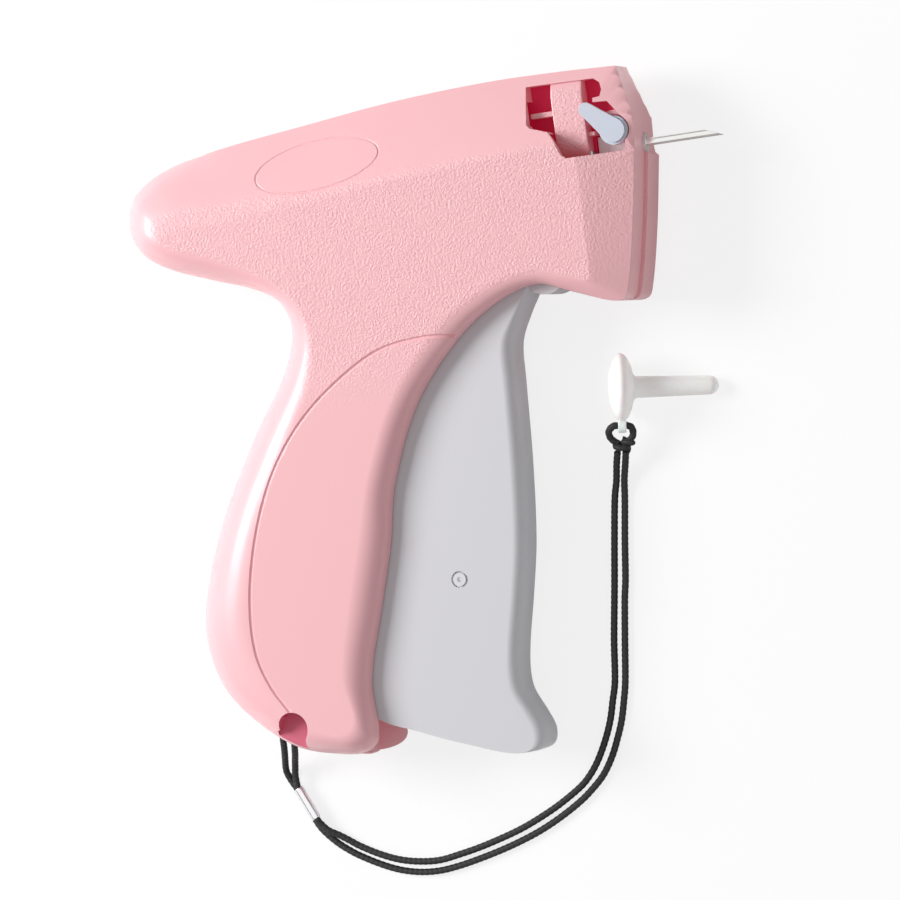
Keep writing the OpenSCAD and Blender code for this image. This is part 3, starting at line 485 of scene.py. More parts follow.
# %% Outline curves
nose_half = 10.5
flank_start = 5.6
wall = 2.2
nose_step = 1
rear_x = -133.4
top_y = 19.6


def unit(v):
    """The vector at length 1, or none at all where it is too short to have a direction."""
    return v.normalized() if v.length > 0.001 else Vector((0, 0))


def bend(a, b, leaving, arriving, t):
    """A smooth step from a to b."""
    size = (b - a).length
    return (
        (2 * t**3 - 3 * t**2 + 1) * a + (t**3 - 2 * t**2 + t) * size * leaving
        + (3 * t**2 - 2 * t**3) * b + (t**3 - t**2) * size * arriving
    )


def finer(rows, steps):
    """The rows made finer, with steps to each given row; a sharp row starts a new curve."""
    count = len(rows)

    def heading(k, i, straight):
        if rows[i][4]:
            return unit(straight)
        return unit(Vector(rows[(i + 1) % count][k]) - Vector(rows[i - 1][k]))

    made = []
    for i, row in enumerate(rows):
        j = (i + 1) % count
        for q in range(steps):
            t = q / steps
            ends = []
            for k in (0, 1):
                a, b = Vector(row[k]), Vector(rows[j][k])
                ends.append(bend(a, b, heading(k, i, b - a), heading(k, j, b - a), t))
            made.append((
                ends[0], ends[1],
                row[2] * (1 - t) + rows[j][2] * t, row[3] * (1 - t) + rows[j][3] * t,
            ))
    return made


def ring(rows, share, shrink=0.0):
    """The outline at a share of the half width; shrink moves it inwards, in millimetres."""
    outline = []
    for edge, face, flat, roundness in rows:
        drawn = 0.0
        if share > flat:
            t = min(1.0, (share - flat) / max(0.001, 1 - flat))
            drawn = (1 - roundness) * t + roundness * (1 - sqrt(max(0.0, 1 - t * t)))
        outline.append(edge + (face - edge) * drawn)
    return inset(outline, shrink) if shrink else outline


def inset(outline, depth):
    """An anticlockwise outline moved inwards."""
    count = len(outline)
    moved = []
    for i, p in enumerate(outline):
        v = unit(outline[(i + 1) % count] - outline[i - 1])
        moved.append(p + depth * Vector((-v.y, v.x)))
    return moved


def clearance(p, outline):
    """Distance from a point to a closed outline."""
    distances = []
    for a, b in zip(outline, outline[1:] + outline[:1]):
        edge = b - a
        t = min(1.0, max(0.0, (p - a).dot(edge) / max(edge.length_squared, 1e-9)))
        distances.append((p - a - edge * t).length)
    return min(distances)


def core_outline(outline, depth):
    """An outline moved inwards, without the loops that it would make at tight corners."""
    nearly = 0.97
    return [p for p in inset(outline, depth) if clearance(p, outline) > nearly * depth]


def loft(name, rings, heights, side, materials):
    """A closed solid through outlines at heights; side is 1 on the left and -1 on the right."""
    count = len(rings[0])
    points = [(p.x, p.y, side * h) for outline, h in zip(rings, heights) for p in outline]
    faces = [tuple(range(count)), tuple(len(points) - count + i for i in range(count))]
    for k in range(len(rings) - 1):
        for i in range(count):
            a = k * count + i
            b = k * count + (i + 1) % count
            faces.append((a, b, b + count, a + count))
    return new_object(name, points, faces, materials)


# %% [markdown]
# The body is injection-moulded ABS in a light pink. Polished tool steel leaves most of it satin,
# while the barrel's sides and the top of the grip were spark-eroded in the mould, which prints a
# fine orange-peel grain there and scatters the light. Red light that gets into the plastic would
# make deep openings a strong raspberry red rather than grey; here that red is painted: the pink
# has a faint painted red glow, and the surfaces inside the casing and the web behind the lanyard
# notch get a darker red painted shade with a painted red glow.

# %% Pink ABS
# The faint red emission on the pink is a painted glow that stands in for light through the
# plastic.
abs_pink, pink_shader = new_material(
    "pink_abs_faint_painted_glow", "#ECB8BD", 0.38, IOR=1.53, Specular_IOR_Level=0.45, Coat_Weight=0.2,
    Coat_Roughness=0.14, Emission_Color=linear("#FF5060"), Emission_Strength=0.04,
)
pink_spot = add_node(abs_pink, "ShaderNodeTexCoord")
pink_axes = add_node(
    abs_pink, "ShaderNodeSeparateXYZ", (), {"Vector": pink_spot.outputs["Object"]}
)
pink_facing = add_node(abs_pink, "ShaderNodeNewGeometry")
facing_axes = add_node(
    abs_pink, "ShaderNodeSeparateXYZ", (), {"Vector": pink_facing.outputs["Normal"]}
)
facing_side = add_node(
    abs_pink, "ShaderNodeMath", {"operation": "ABSOLUTE"}, {0: facing_axes.outputs["Z"]}
)
flat_side = add_node(
    abs_pink, "ShaderNodeMapRange",
    {"From Min": 0.93, "From Max": 0.98, "interpolation_type": "SMOOTHSTEP"},
    {"Value": facing_side.outputs[0]},
)
grain_low = place(0, -62).y
grain_full = place(0, -36).y
above_grip = add_node(
    abs_pink, "ShaderNodeMapRange",
    {"From Min": grain_low, "From Max": grain_full, "interpolation_type": "SMOOTHSTEP"},
    {"Value": pink_axes.outputs["Y"]},
)
grain_share = add_node(
    abs_pink, "ShaderNodeMath", {"operation": "MULTIPLY"},
    {0: flat_side.outputs[0], 1: above_grip.outputs[0]},
)
grain(abs_pink, pink_shader, size=0.6, depth=0.34, share=grain_share.outputs[0])

# Inside walls: a dark red painted shade for deep openings, with a painted red glow from emission.
painted_shade_inside, _ = new_material(
    "red_inside_painted_shade_glow", "#C42450", 0.5, Specular_IOR_Level=0.3,
    Emission_Color=linear("#F01848"), Emission_Strength=0.12,
)
# The web behind the lanyard notch: a darker pink painted shade, with a painted red glow from
# emission.
web_painted_shade, _ = new_material(
    "darker_web_pink_painted_shade_glow", "#BE5F76", 0.5, Emission_Color=linear("#E04860"), Emission_Strength=0.1
)
print("spark-eroded grain fades out between y", round(grain_low, 3), "and", round(grain_full, 3))

# %% [markdown]
# Openings are cut with Booleans, as the mould's cores leave them: a cutter solid stands where the
# steel stood. The exact solver keeps the cutter's material on the faces that it leaves, so
# cavities cut with the inside material get its dark red painted shade and painted glow.

# %% Cutting tools
def prism(name, outline, low, high, material):
    """A straight cutter with that outline between two heights."""
    flat = [Vector(p) for p in outline]
    return loft(name, [flat, flat], [low, high], 1, [material])


def round_cutter(name, at, radius, low, high, material, sides=64):
    """A straight round cutter, or a round part, between two heights."""
    outline = [
        (at[0] + radius * cos(tau * k / sides), at[1] + radius * sin(tau * k / sides))
        for k in range(sides)
    ]
    return prism(name, outline, low, high, material)


def combine(body, other, operation):
    """Runs an exact Boolean on the body and deletes the other solid."""
    step = body.modifiers.new(operation.lower(), "BOOLEAN")
    step.operation = operation
    step.solver = "EXACT"
    step.material_mode = "TRANSFER"
    step.object = other
    bake_modifiers(body)
    bpy.data.objects.remove(other)


def cut(body, cutter):
    """Takes the cutter out of the body."""
    combine(body, cutter, "DIFFERENCE")


def add_to(body, part):
    """Fuses a part with the body."""
    combine(body, part, "UNION")


def groove_cutter(name, route, radius, material, sides=10, closed=False):
    """A round bar along a route, for cutting a groove."""
    points, faces = [], []
    count = len(route)
    for i, at in enumerate(route):
        before = route[i - 1] if i or closed else at
        after = route[(i + 1) % count] if i < count - 1 or closed else at
        across = (after - before).normalized().cross(Vector((0, 0, 1))).normalized()
        upward = across.cross((after - before).normalized())
        for k in range(sides):
            angle = tau * k / sides
            points.append(at + radius * (across * cos(angle) + upward * sin(angle)))
    for i in range(count if closed else count - 1):
        for k in range(sides):
            a, b = i * sides, (i + 1) % count * sides
            faces.append((a + k, a + (k + 1) % sides, b + (k + 1) % sides, b + k))
    if not closed:
        faces.append(tuple(range(sides)))
        faces.append(tuple(len(points) - sides + k for k in range(sides)))
    return new_object(name, points, faces, [material])


# %% [markdown]
# These are the casing's rows, anticlockwise from the nose's lower front corner: the outline at the
# parting plane, the edge of the side face, the share of the half width that stays upright, how
# round the edge is, and 1 at a sharp corner. They repeat the CAD's rows, and are drawn in finer
# steps here.

# %% Rows of the casing
nose_flat = nose_half / half_width
flank = flank_start / half_width


def casing_rows(step):
    """Rows of one half; step moves the lower nose and the heel's tip forwards."""
    return [
        ((-7.4 + step, -34), (-15.8, -30), nose_flat, 0.1, 0),
        ((-4.4 + step, -20), (-15.7, -20), nose_flat, 0.1, 0),
        ((-1.7 + step, -2.9), (-15.6, -7.2), nose_flat, 0.1, 1),
        ((-1.5, -2.1), (-15.6, -6.4), nose_flat, 0.1, 1),
        ((-1.1, 6.3), (-15.8, -0.4), 0.7, 0.1, 1),
        ((-3.1, 13.4), (-17.4, 0.2), 0.55, 0.1, 0),
        ((-4.7, 18.9), (-19.4, 0.8), flank, 0.15, 1),
        ((-20, top_y - 0.1), (-27, 0.8), flank, 0.15, 0),
        ((-37.6, top_y), (-38, 0.2), flank, 0.15, 0),
        ((-60.8, 18.4), (-58, -1.3), flank, 0.15, 0),
        ((-83, 16), (-80, -3.2), flank, 0.2, 0),
        ((-107.4, 13.1), (-102, -5.2), flank, 0.4, 0),
        ((-123, 9.9), (-115, -6.4), 0.25, 0.8, 0),
        ((-130.6, 5.4), (-120, -6.8), 0.1, 1, 0),
        ((rear_x, -1.4), (-121.4, -7.4), 0, 1, 0),
        ((-131.4, -8.6), (-120.6, -8.2), 0, 1, 0),
        ((-125.4, -13.6), (-116, -10.4), 0, 1, 0),
        ((-113, -18.4), (-107, -13.6), 0.1, 1, 0),
        ((-103, -21.9), (-98, -18.6), 0.1, 1, 0),
        ((-96.6, -26.2), (-90.6, -25), 0, 1, 0),
        ((-94.8, -32.8), (-86.6, -34), 0, 1, 0),
        ((-98, -42.6), (-88, -45.6), 0, 1, 0),
        ((-108, -57.4), (-96, -60.6), 0, 1, 0),
        ((-119, -76.7), (-106, -78.4), 0, 1, 0),
        ((-126, -95.2), (-112, -96), 0, 1, 0),
        ((-127.4, -106.6), (-113, -106), 0, 1, 0),
        ((-124.4, -118.4), (-110.6, -114.6), 0, 1, 0),
        ((-116.9, -127.8), (-106.6, -122), 0, 1, 0),
        ((-106.8, -134.8), (-101.4, -128.4), 0.15, 1, 0),
        ((-96, -137.6), (-96, -131.7), 0.2, 1, 0),
        ((-87.9 + 0.4 * step, -137.6 - 0.8 * step), (-91.2, -132.4), 0.35, 1, 0),
        ((-84.8 + 2.6 * step, -134.2 - 0.9 * step), (-88.8, -129), 0.55, 0.9, 0),
        ((-84.7, -120), (-90.4, -118.6), 0.55, 1, 0),
        ((-79.3, -101.3), (-85.8, -99.6), 0.55, 1, 0),
        ((-75.3, -87.3), (-81.6, -85.6), 0.55, 1, 0),
        ((-72.5, -74), (-77.6, -71.6), 0.55, 1, 0),
        ((-64, -55), (-68.4, -52.4), 0.6, 1, 0),
        ((-51.4, -40.6), (-54.6, -36.6), 0.7, 1, 0),
        ((-39.8, -32.9), (-41.4, -28.8), 0.75, 1, 0),
        ((-30, -30.4), (-30.6, -26.6), 0.75, 1, 0),
        ((-21.8, -33.2), (-22.6, -28.6), 0.75, 0.6, 0),
        ((-12.6, -36.6), (-17.4, -31), nose_flat, 0.2, 0),
        ((-9 + step, -36.8), (-16.4, -31), nose_flat, 0.1, 0),
    ]


# Levels crowd towards the side face, where the quarter ellipse turns fastest. The extra ones lie
# where the flank and the nose start to slant.
slant_starts = [flank, nose_flat, 0.48, 0.7]
casing_levels = sorted([sin(pi / 2 * k / 16) for k in range(17)] + slant_starts)
parting_chamfer = 0.15
print("casing:", len(casing_rows(0)), "rows at", len(casing_levels), "levels")

# %% The two half shells
foot_radius = 116
notch_at = (-104.8, -129.6)
notch_radius = 4
post_at = (-110.2, -126.6)
mouth_half = 2 * cord_diameter + 0.4
slot_half = 7.35
inner = half_width - wall
notch_floor = inner - 3
notch_foot = [(-3, 0), (-4.8, -0.2), (-7, -9), (1.8, -9), (2.1, -4.6), (3.9, 0)]
hollow_depths = (half_width * 0.55, inner)
hollow_margin = 0.3
mouth_at = (post_at[0] - 0.4, post_at[1] - 2.5)
mouth_reach = (4, 6.3)
web_margin = 1.8
web_skin = 0.3
trigger_sweep = [
    (-23, -24), (-23, -60), (-36, -150), (-90, -150), (-89, -118), (-84, -100),
    (-80, -86), (-77, -72), (-68, -52), (-55, -39), (-43, -30), (-36, -22),
]


def within(centre, radius, outline):
    """A round outline about a centre, kept inside another outline."""
    c = Vector(centre)
    made = []
    sides = 48
    for k in range(sides):
        way = Vector((cos(tau * k / sides), sin(tau * k / sides)))
        reach = radius
        for a, b in zip(outline, outline[1:] + outline[:1]):
            hit = intersect_line_line_2d(c, c + way * radius, a, b)
            if hit is not None:
                reach = min(reach, (hit - c).length)
        made.append(tuple(c + way * reach))
    return made


def half_shell(name, step, side):
    """One half of the casing, hollow and with its trigger slot, lanyard mouth and notch."""
    rows = finer(casing_rows(step), 6)
    rings = [ring(rows, 0, parting_chamfer)] + [ring(rows, h) for h in casing_levels]
    heights = [0.0, parting_chamfer] + [h * half_width for h in casing_levels[1:]]
    shell = loft(name, rings, heights, side, [abs_pink])
    coarse = finer(casing_rows(0), 2)
    # The hollows are cut with the inside material, so their walls get its dark red painted shade
    # and glow.
    for depth in hollow_depths:
        hollow = core_outline(ring(coarse, depth / half_width), wall + hollow_margin)
        low, high = sorted((-side, side * depth))
        cut(shell, prism("hollow", hollow, low, high, painted_shade_inside))
    low, high = sorted((-side, side * slot_half))
    cut(shell, prism("trigger_slot", trigger_sweep, low, high, abs_pink))
    # The lanyard mouth, the notch and the web take the web material, whose darker pink paints the
    # shade in the notch, with a painted red glow.
    low, high = sorted((-side, side * mouth_half))
    mouth = [
        (mouth_at[0] + x * mouth_reach[0], mouth_at[1] + y * mouth_reach[1])
        for x, y in ((-1, -1), (1, -1), (1, 1), (-1, 1))
    ]
    cut(shell, prism("lanyard_mouth", mouth, low, high, web_painted_shade))
    low, high = sorted((side * notch_floor, side * (half_width + 1)))
    cut(shell, round_cutter("notch", notch_at, notch_radius, low, high, web_painted_shade))
    foot = [(notch_at[0] + x, notch_at[1] + y) for x, y in notch_foot]
    cut(shell, prism("notch_foot", foot, low, high, web_painted_shade))
    skin = ring(rows, (notch_floor + web_skin) / half_width, web_skin)
    low, high = sorted((side * mouth_half, side * (notch_floor + 0.02)))
    web = prism("web", within(notch_at, notch_radius + web_margin, skin), low, high, web_painted_shade)
    return join([shell, web])


left_shell = half_shell("left_half", 0, 1)
right_shell = half_shell("right_half", nose_step, -1)
print("left half:", len(left_shell.data.polygons), "faces")

# %% [markdown]
# The left half alone has the window. Fastener clips are dropped in there from the side, and the
# needle's lock lever turns in its lower front corner, so the wall is open down to the parting
# plane and a round pocket lets the lever's hub in.

# %% The window
lock_at = (-6, 3.4)
hub_diameter = 7
hub_low = 7.4
window = [
    (-27, 16.9), (-27, 7.6), (-26.2, 6.6), (-21.8, 5.1), (-20.6, 3.2), (-18.9, -0.9),
    (-17.8, -1.8), (-4, -1.8), (-3.4, -0.6), (-3.4, 6), (-5, 8), (-7, 10.6), (-10.4, 10.8),
    (-10.4, 11.8), (-8.7, 12), (-8.2, 13.6), (-8.6, 15.4), (-10.2, 16.6),
]
cut(left_shell, prism("window", window[::-1], -1, half_width + 1, abs_pink))
hub_pocket = hub_diameter / 2 + 0.3
pocket_floor = hub_low - 0.9
cut(left_shell, round_cutter(
    "hub_pocket", lock_at, hub_pocket, pocket_floor, half_width + 1, abs_pink
))
print("window of", len(window), "corners, hub pocket", 2 * hub_pocket, "mm across")

# %% [markdown]
# Five screws hold the halves together from the right side. Each sits in a deep round hole, as on
# any hand tool, so that the head never rubs the hand or the table.

# %% Screw holes
screw_places = [(-122, -2), (-52, -18.5), (-94, -50), (-112.5, -119), (-11, -27)]
screw_head = 5.2
screw_head_height = 1.8
screw_sunk = 2.6
screw_gap = 0.2
screw_bearing = half_width - screw_head_height - screw_sunk
for at in screw_places:
    cut(right_shell, round_cutter(
        "screw_hole", at, screw_head / 2 + screw_gap, -half_width - 1, -screw_bearing, abs_pink, 32
    ))
print("screw heads sit", screw_sunk, "mm deep")


# %% [markdown]
# Two thin lines are drawn on the skin: the edge of the grip panel and the oval of the bare badge.
# Both lie on a curved surface, so a ray is dropped on the shell at each point of the line to find
# how high the skin is there, and a round bar along those points cuts the groove.

# %% Lines on the skin
def skin_height(tree, x, y, side):
    """Height of the shell's outside over a point, in millimetres."""
    start = place(x, y, side * (half_width + 5))
    hit = tree.ray_cast(start, Vector((0, 0, -side)))[0]
    return None if hit is None else (hit.z - muzzle.z) * 1000


def skin_route(shell, points, side, lift):
    """Points lifted onto the shell's skin."""
    tree = BVHTree.FromObject(shell, bpy.context.evaluated_depsgraph_get())
    route = []
    for p in points:
        height = skin_height(tree, p[0], p[1], side)
        if height is not None and side * height > 2:
            route.append(Vector((p[0], p[1], height + side * lift)))
    return route


panel_path = [
    (-50.7, -40.2), (-59.5, -39.5), (-71.2, -41.4), (-83.7, -48.5), (-94, -57.5), (-102, -68.7),
    (-107.8, -82.7), (-111.1, -97.1), (-111.5, -109.4), (-108.9, -118.3), (-104.7, -125.4),
]
panel_curve = smooth_route([(*p, 0) for p in panel_path], 1.2)
panel_groove = 0.55
panel_lift = 0.1
for shell, side in ((left_shell, 1), (right_shell, -1)):
    line = skin_route(shell, panel_curve, side, panel_lift)
    cut(shell, groove_cutter("panel_line", line, panel_groove, abs_pink))

badge_at = (-80.6, 5.6)
badge_length = 32
badge_height = 12
badge_turn = radians(5)
badge_groove = 0.34
badge_lift = 0.12
badge_points = 72
badge_curve = []
for k in range(badge_points):
    angle = tau * k / badge_points
    x, y = badge_length / 2 * cos(angle), badge_height / 2 * sin(angle)
    badge_curve.append((
        badge_at[0] + x * cos(badge_turn) - y * sin(badge_turn),
        badge_at[1] + x * sin(badge_turn) + y * cos(badge_turn),
    ))
badge_line = skin_route(left_shell, badge_curve, 1, badge_lift)
cut(left_shell, groove_cutter("badge_line", badge_line, badge_groove, abs_pink, closed=True))
print("panel line", len(panel_curve), "points, badge line", len(badge_line))

# %% [markdown]
# A mould leaves no knife-sharp corner, and rounded edges are what catch a studio light. A narrow
# bevel on the edges that the cuts left, with normals weighted by face size, keeps the big faces
# flat and lets the rims shine.

# %% Round the edges
def soften(obj, width, angle=38):
    """Rounds an object's sharp edges by a width in millimetres."""
    edge = obj.modifiers.new("edge", "BEVEL")
    edge.width = width / 1000
    edge.segments = 2
    edge.limit_method = "ANGLE"
    edge.angle_limit = radians(angle)
    edge.use_clamp_overlap = True
    edge.miter_outer = "MITER_ARC"
    bake_modifiers(obj)
    shade(obj, angle)
    weigh = obj.modifiers.new("weigh", "WEIGHTED_NORMAL")
    weigh.keep_sharp = True
    weigh.weight = 80
    bake_modifiers(obj)


rim_width = 0.3
for shell, node in ((left_shell, "left_shell"), (right_shell, "right_shell")):
    soften(shell, rim_width)
    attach(shell, "casing")
    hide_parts(node)
    print(shell.name, len(shell.data.polygons), "faces")

# %% [markdown]
# The trigger is moulded ABS too, in a light warm grey. It is a deep channel, open at the back, so
# its two cheeks pass either side of the lever, and its front is rounded for the fingers. The same
# loft draws it, from one side face to the other.

# %% The trigger
trigger_half = 7
trigger_round = 3.2
cheek = 2
toe_x = -45
abs_grey, _ = new_material("moulded_abs_grey", "#D2D1D5", 0.42, IOR=1.53, Specular_IOR_Level=0.45)


def trigger_row(p, share):
    """A row of the trigger whose edge is drawn back by a share of the rounding."""
    return (p, (p[0] - trigger_round * share, p[1]), 0.4 if share > 0 else 1, 1, 0)


def foot_point(x):
    """A point of the foot, which is an arc about the pivot."""
    return (x, trigger_pivot[1] - sqrt(foot_radius**2 - (x - trigger_pivot[0]) ** 2))


trigger_rows = finer([
    trigger_row((-35.6, -36.6), 0.6), trigger_row((-32.6, -31), 0.3), trigger_row((-32, -26), 0),
    trigger_row((-40, -29.6), 0), trigger_row((-54, -41), 0), trigger_row((-67, -55.4), 0),
    trigger_row((-75.4, -73.4), 0), trigger_row((-78.4, -86.8), 0), trigger_row((-82.6, -101), 0),
    trigger_row((-87.4, -118), 0), trigger_row(foot_point(-86.4), 0),
    trigger_row(foot_point(-74), 0), trigger_row(foot_point(-60), 0.2),
    trigger_row(foot_point(toe_x - 3), 1), trigger_row((toe_x + 1, -141.2), 1),
    trigger_row((toe_x + 2, -137.4), 1), trigger_row((-44.6, -133), 1),
    trigger_row((-47.4, -126.6), 1), trigger_row((-47.2, -118.6), 1),
    trigger_row((-44.2, -104), 1),
    trigger_row((-41.9, -91.5), 1), trigger_row((-40.2, -73), 1), trigger_row((-39.2, -53), 1),
    trigger_row((-38.6, -43.4), 1),
], 5)
upper = sorted([sin(pi / 2 * k / 10) for k in range(11)] + [0.4])
trigger_levels = [-h for h in upper[:0:-1]] + upper
trigger = loft(
    "trigger_channel", [ring(trigger_rows, abs(h)) for h in trigger_levels],
    [h * trigger_half for h in trigger_levels], 1, [abs_grey],
)
hollow = [
    (-44, -20), (-42.2, -44), (-42.2, -74), (-44.6, -92), (-47.4, -105), (-50.6, -118),
    (-51, -127), (-49, -134), (-62, -134), (-100, -124), (-92, -80), (-80, -50), (-60, -24),
]
inside_half = trigger_half - cheek
cut(trigger, prism("trigger_hollow", hollow[::-1], -inside_half, inside_half, abs_grey))
hub_radius = 5.4
add_to(trigger, round_cutter(
    "trigger_hub", trigger_pivot, hub_radius, -trigger_half, trigger_half, abs_grey, 48
))
link_at = (-59.5, -98.6)
link_recess = 2.05
link_bore = 1.62
pivot_bore = 2.05
recess_floor = trigger_half - 0.5
through = trigger_half + 1
for side in (-1, 1):
    low, high = sorted((side * recess_floor, side * through))
    cut(trigger, round_cutter("pin_recess", link_at, link_recess, low, high, abs_grey, 40))
cut(trigger, round_cutter("pin_bore", link_at, link_bore, -through, through, abs_grey, 40))
cut(trigger, round_cutter(
    "pivot_bore", trigger_pivot, pivot_bore, -through, through, abs_grey, 40
))
soften(trigger, rim_width)
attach(trigger, "trigger")
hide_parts("trigger")
print("trigger:", len(trigger.data.polygons), "faces")

# %% [markdown]
# Behind the window stand the guides for a clip of fasteners: a back plate, a broad light strap
# that bends in at its foot, a rib on either side of it and a curved collar above the lock's hub.
# They are small blocks with rounded edges; the plate behind them is dark red, a painted shade with
# a painted red glow.

# %% Guides in the window
guide_low = 1.2
guide_high = 2.4


def block(name, low, high, material, edge=0.3):
    """A box between two corners, in millimetres, with rounded edges."""
    (x0, y0, z0), (x1, y1, z1) = low, high
    outline = [(x0, y0), (x1, y0), (x1, y1), (x0, y1)]
    made = prism(name, outline, z0, z1, material)
    if edge:
        soften(made, edge)
    return made


def swept_face(name, outline, x0, x1, material, edge=0.3):
    """A bar along x whose section across y and z is the outline."""
    count = len(outline)
    points = [(x0, y, z) for y, z in outline] + [(x1, y, z) for y, z in outline]
    faces = [tuple(range(count)), tuple(range(count, 2 * count))]
    faces += [(k, (k + 1) % count, count + (k + 1) % count, count + k) for k in range(count)]
    made = new_object(name, points, faces, [material])
    soften(made, edge)
    return made


strap_left = -21.1
strap_right = -13.2
# The back plate takes the inside material: its dark red is painted shade with a painted red glow.
plate = block("guide_plate", (-30, -3, guide_low), (-4.5, 17.4, guide_high), painted_shade_inside, 0)
base_room = [(-12.4, -3.1), (0, -3.1), (0, 3.1), (-12.4, 3.1)]
nose_slope = [(-4, 13.5), (-4, 18), (-8.2, 18)]
shaft_hole = 2.6
cut(plate, prism("base_room", base_room, 0, 3.2, painted_shade_inside))
cut(plate, prism("nose_slope", nose_slope, 0, 3.2, painted_shade_inside))
cut(plate, round_cutter("shaft_hole", lock_at, shaft_hole, 0, 3.4, painted_shade_inside, 40))
strap_section = [
    (17.2, guide_high), (17.2, 6.1), (13.6, 7.8), (2.5, 7.8), (-0.6, 7), (-2.9, 5.2),
    (-2.9, guide_high),
]
strap = swept_face("guide_strap", strap_section, strap_left, strap_right, abs_pink, 0.5)
rib_high = 6.6
left_rib = block("left_rib", (-26.8, 9, guide_high), (strap_left, 10.3, rib_high), abs_pink, 0.25)
right_rib = block("right_rib", (strap_right, 3, guide_high), (-11.5, 4, rib_high), abs_pink, 0.25)


def arc_wall(name, at, inner_r, outer_r, start, end, low, high, material):
    """A curved wall about a point, between two angles in degrees."""
    steps = 20
    angles = [radians(start + (end - start) * k / steps) for k in range(steps + 1)]
    outline = [(at[0] + outer_r * cos(a), at[1] + outer_r * sin(a)) for a in angles]
    outline += [(at[0] + inner_r * cos(a), at[1] + inner_r * sin(a)) for a in reversed(angles)]
    made = prism(name, outline, low, high, material)
    soften(made, 0.25)
    return made


collar = arc_wall("hub_collar", lock_at, 3.75, 4.9, 30, 118, guide_high, 8.6, abs_pink)
guide = join([plate, strap, left_rib, right_rib, collar])
guide.name = "fastener_guide"
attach(guide, "casing")
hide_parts("feed_guide")
print("guide:", len(guide.data.polygons), "faces")

# %% [markdown]
# The lock lever is moulded acetal, a slightly bluish milky white plastic that is slippery enough
# to turn in its pocket. It is one moulding: a round hub, an arm that grows out of it and a shaft
# below. So the three are fused by exact Booleans before one bevel rounds all their edges.

# %% The lock lever
acetal, _ = new_material(
    "moulded_acetal", "#CDD3E0", 0.35, IOR=1.48, Subsurface_Weight=0.15, Subsurface_Scale=0.002
)
hub_high = 10.2
arm_low, arm_high = 9.4, 11.2
arm_reach, arm_width = 10, 3.3
arm_root = hub_diameter / 2 - 0.6
arm_angle = radians(136)
shaft_radius = 2.15
shaft_foot = -3
arm_tip = (
    lock_at[0] + (arm_reach - arm_width / 2) * cos(arm_angle),
    lock_at[1] + (arm_reach - arm_width / 2) * sin(arm_angle),
)


def bar_outline(a, b, ra, rb, steps=14):
    """Outline of a bar with round ends between two points."""
    along = atan2(b[1] - a[1], b[0] - a[0])
    outline = []
    for centre, radius, start in ((b, rb, along - pi / 2), (a, ra, along + pi / 2)):
        for k in range(steps + 1):
            angle = start + pi * k / steps
            outline.append((centre[0] + radius * cos(angle), centre[1] + radius * sin(angle)))
    return outline


lock = round_cutter("lock_hub", lock_at, hub_diameter / 2, hub_low, hub_high, acetal, 56)
arm_outline = bar_outline(lock_at, arm_tip, arm_root, arm_width / 2)
add_to(lock, prism("lock_arm", arm_outline, arm_low, arm_high, acetal))
add_to(lock, round_cutter(
    "lock_shaft", lock_at, shaft_radius, shaft_foot, hub_low + 0.1, acetal, 40
))
soften(lock, 0.55)
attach(lock, "needle_lock")
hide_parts("needle_lock")
print("lock lever:", len(lock.data.polygons), "faces")

# %% [markdown]
# Turned, drawn and stamped steel parts differ by how they were finished. A needle is a drawn tube
# that was ground and polished, so it is smooth and bright; pins are turned, levers are tumbled
# and a little dull, springs are drawn wire. All keep the default index and differ in roughness.

# %% Steel and other inner parts
needle_steel, _ = new_material("polished_needle_tube", "#DEDDDA", 0.12, Metallic=1.0)
turned_steel, _ = new_material("turned_steel_pin", "#C9C9CB", 0.22, Metallic=1.0)
tumbled_steel, _ = new_material("tumbled_stamped_steel", "#A5A7AA", 0.42, Metallic=1.0)
spring_steel, _ = new_material("drawn_spring_wire", "#9A9C9F", 0.3, Metallic=1.0)
cast_zinc, _ = new_material("satin_plated_zinc", "#D8CCCE", 0.4, Metallic=0.3)
zinc_screw, _ = new_material("zinc_plated_screw", "#B9BCC0", 0.3, Metallic=1.0)
nylon, _ = new_material("natural_nylon", "#E6E2D6", 0.45)

# The spring seat gets the casing's dark red painted shade and glow, the lanyard post the web's
# darker painted shade and glow.
finishes = {
    "case_screws": zinc_screw, "lanyard_post": web_painted_shade,
    "trigger_pivot_pin": turned_steel, "trigger_link_pin": turned_steel,
    "drive_lever": tumbled_steel, "lever_pivot_pin": turned_steel,
    "lever_roller_pin": turned_steel,
    "ram_carriage": nylon, "pusher_rod": turned_steel, "return_spring": spring_steel,
    "spring_seat": painted_shade_inside, "feed_wheel": nylon, "feed_wheel_axle": turned_steel,
    "feed_pawl": tumbled_steel, "pawl_pin": turned_steel, "detent_leaf": spring_steel,
    "cutter_blade": tumbled_steel, "needle": needle_steel, "needle_base": cast_zinc,
}
for name, material in finishes.items():
    for slot in nodes[name].material_slots:
        slot.material = material
print("metal and nylon on", len(finishes), "CAD nodes")

# %% [markdown]
# The ferrule is a short aluminium tube, pressed flat over both strands so that they can't slide.
# Its section is a racetrack with a slight waist between the strands, and its ends are rolled in a
# little. It lies tilted, one strand above the other.

# %% The ferrule
aluminium, _ = new_material("crimped_aluminium_tube", "#E4E4E6", 0.2, Metallic=1.0)
ferrule_start = Vector((-113.75, -145.83, 0))
ferrule_way = Vector((3.71, -8.1, 0)).normalized()
ferrule_length = 8.9
ferrule_sides = 40
waist_depth = 0.09
ferrule_side = Vector((
    -ferrule_way.y * cos(ferrule_tilt), ferrule_way.x * cos(ferrule_tilt), sin(ferrule_tilt)
))
ferrule_over = ferrule_way.cross(ferrule_side)
ferrule_start.z = ferrule_thick / 2 + cord_diameter / 2 * sin(ferrule_tilt) - half_width


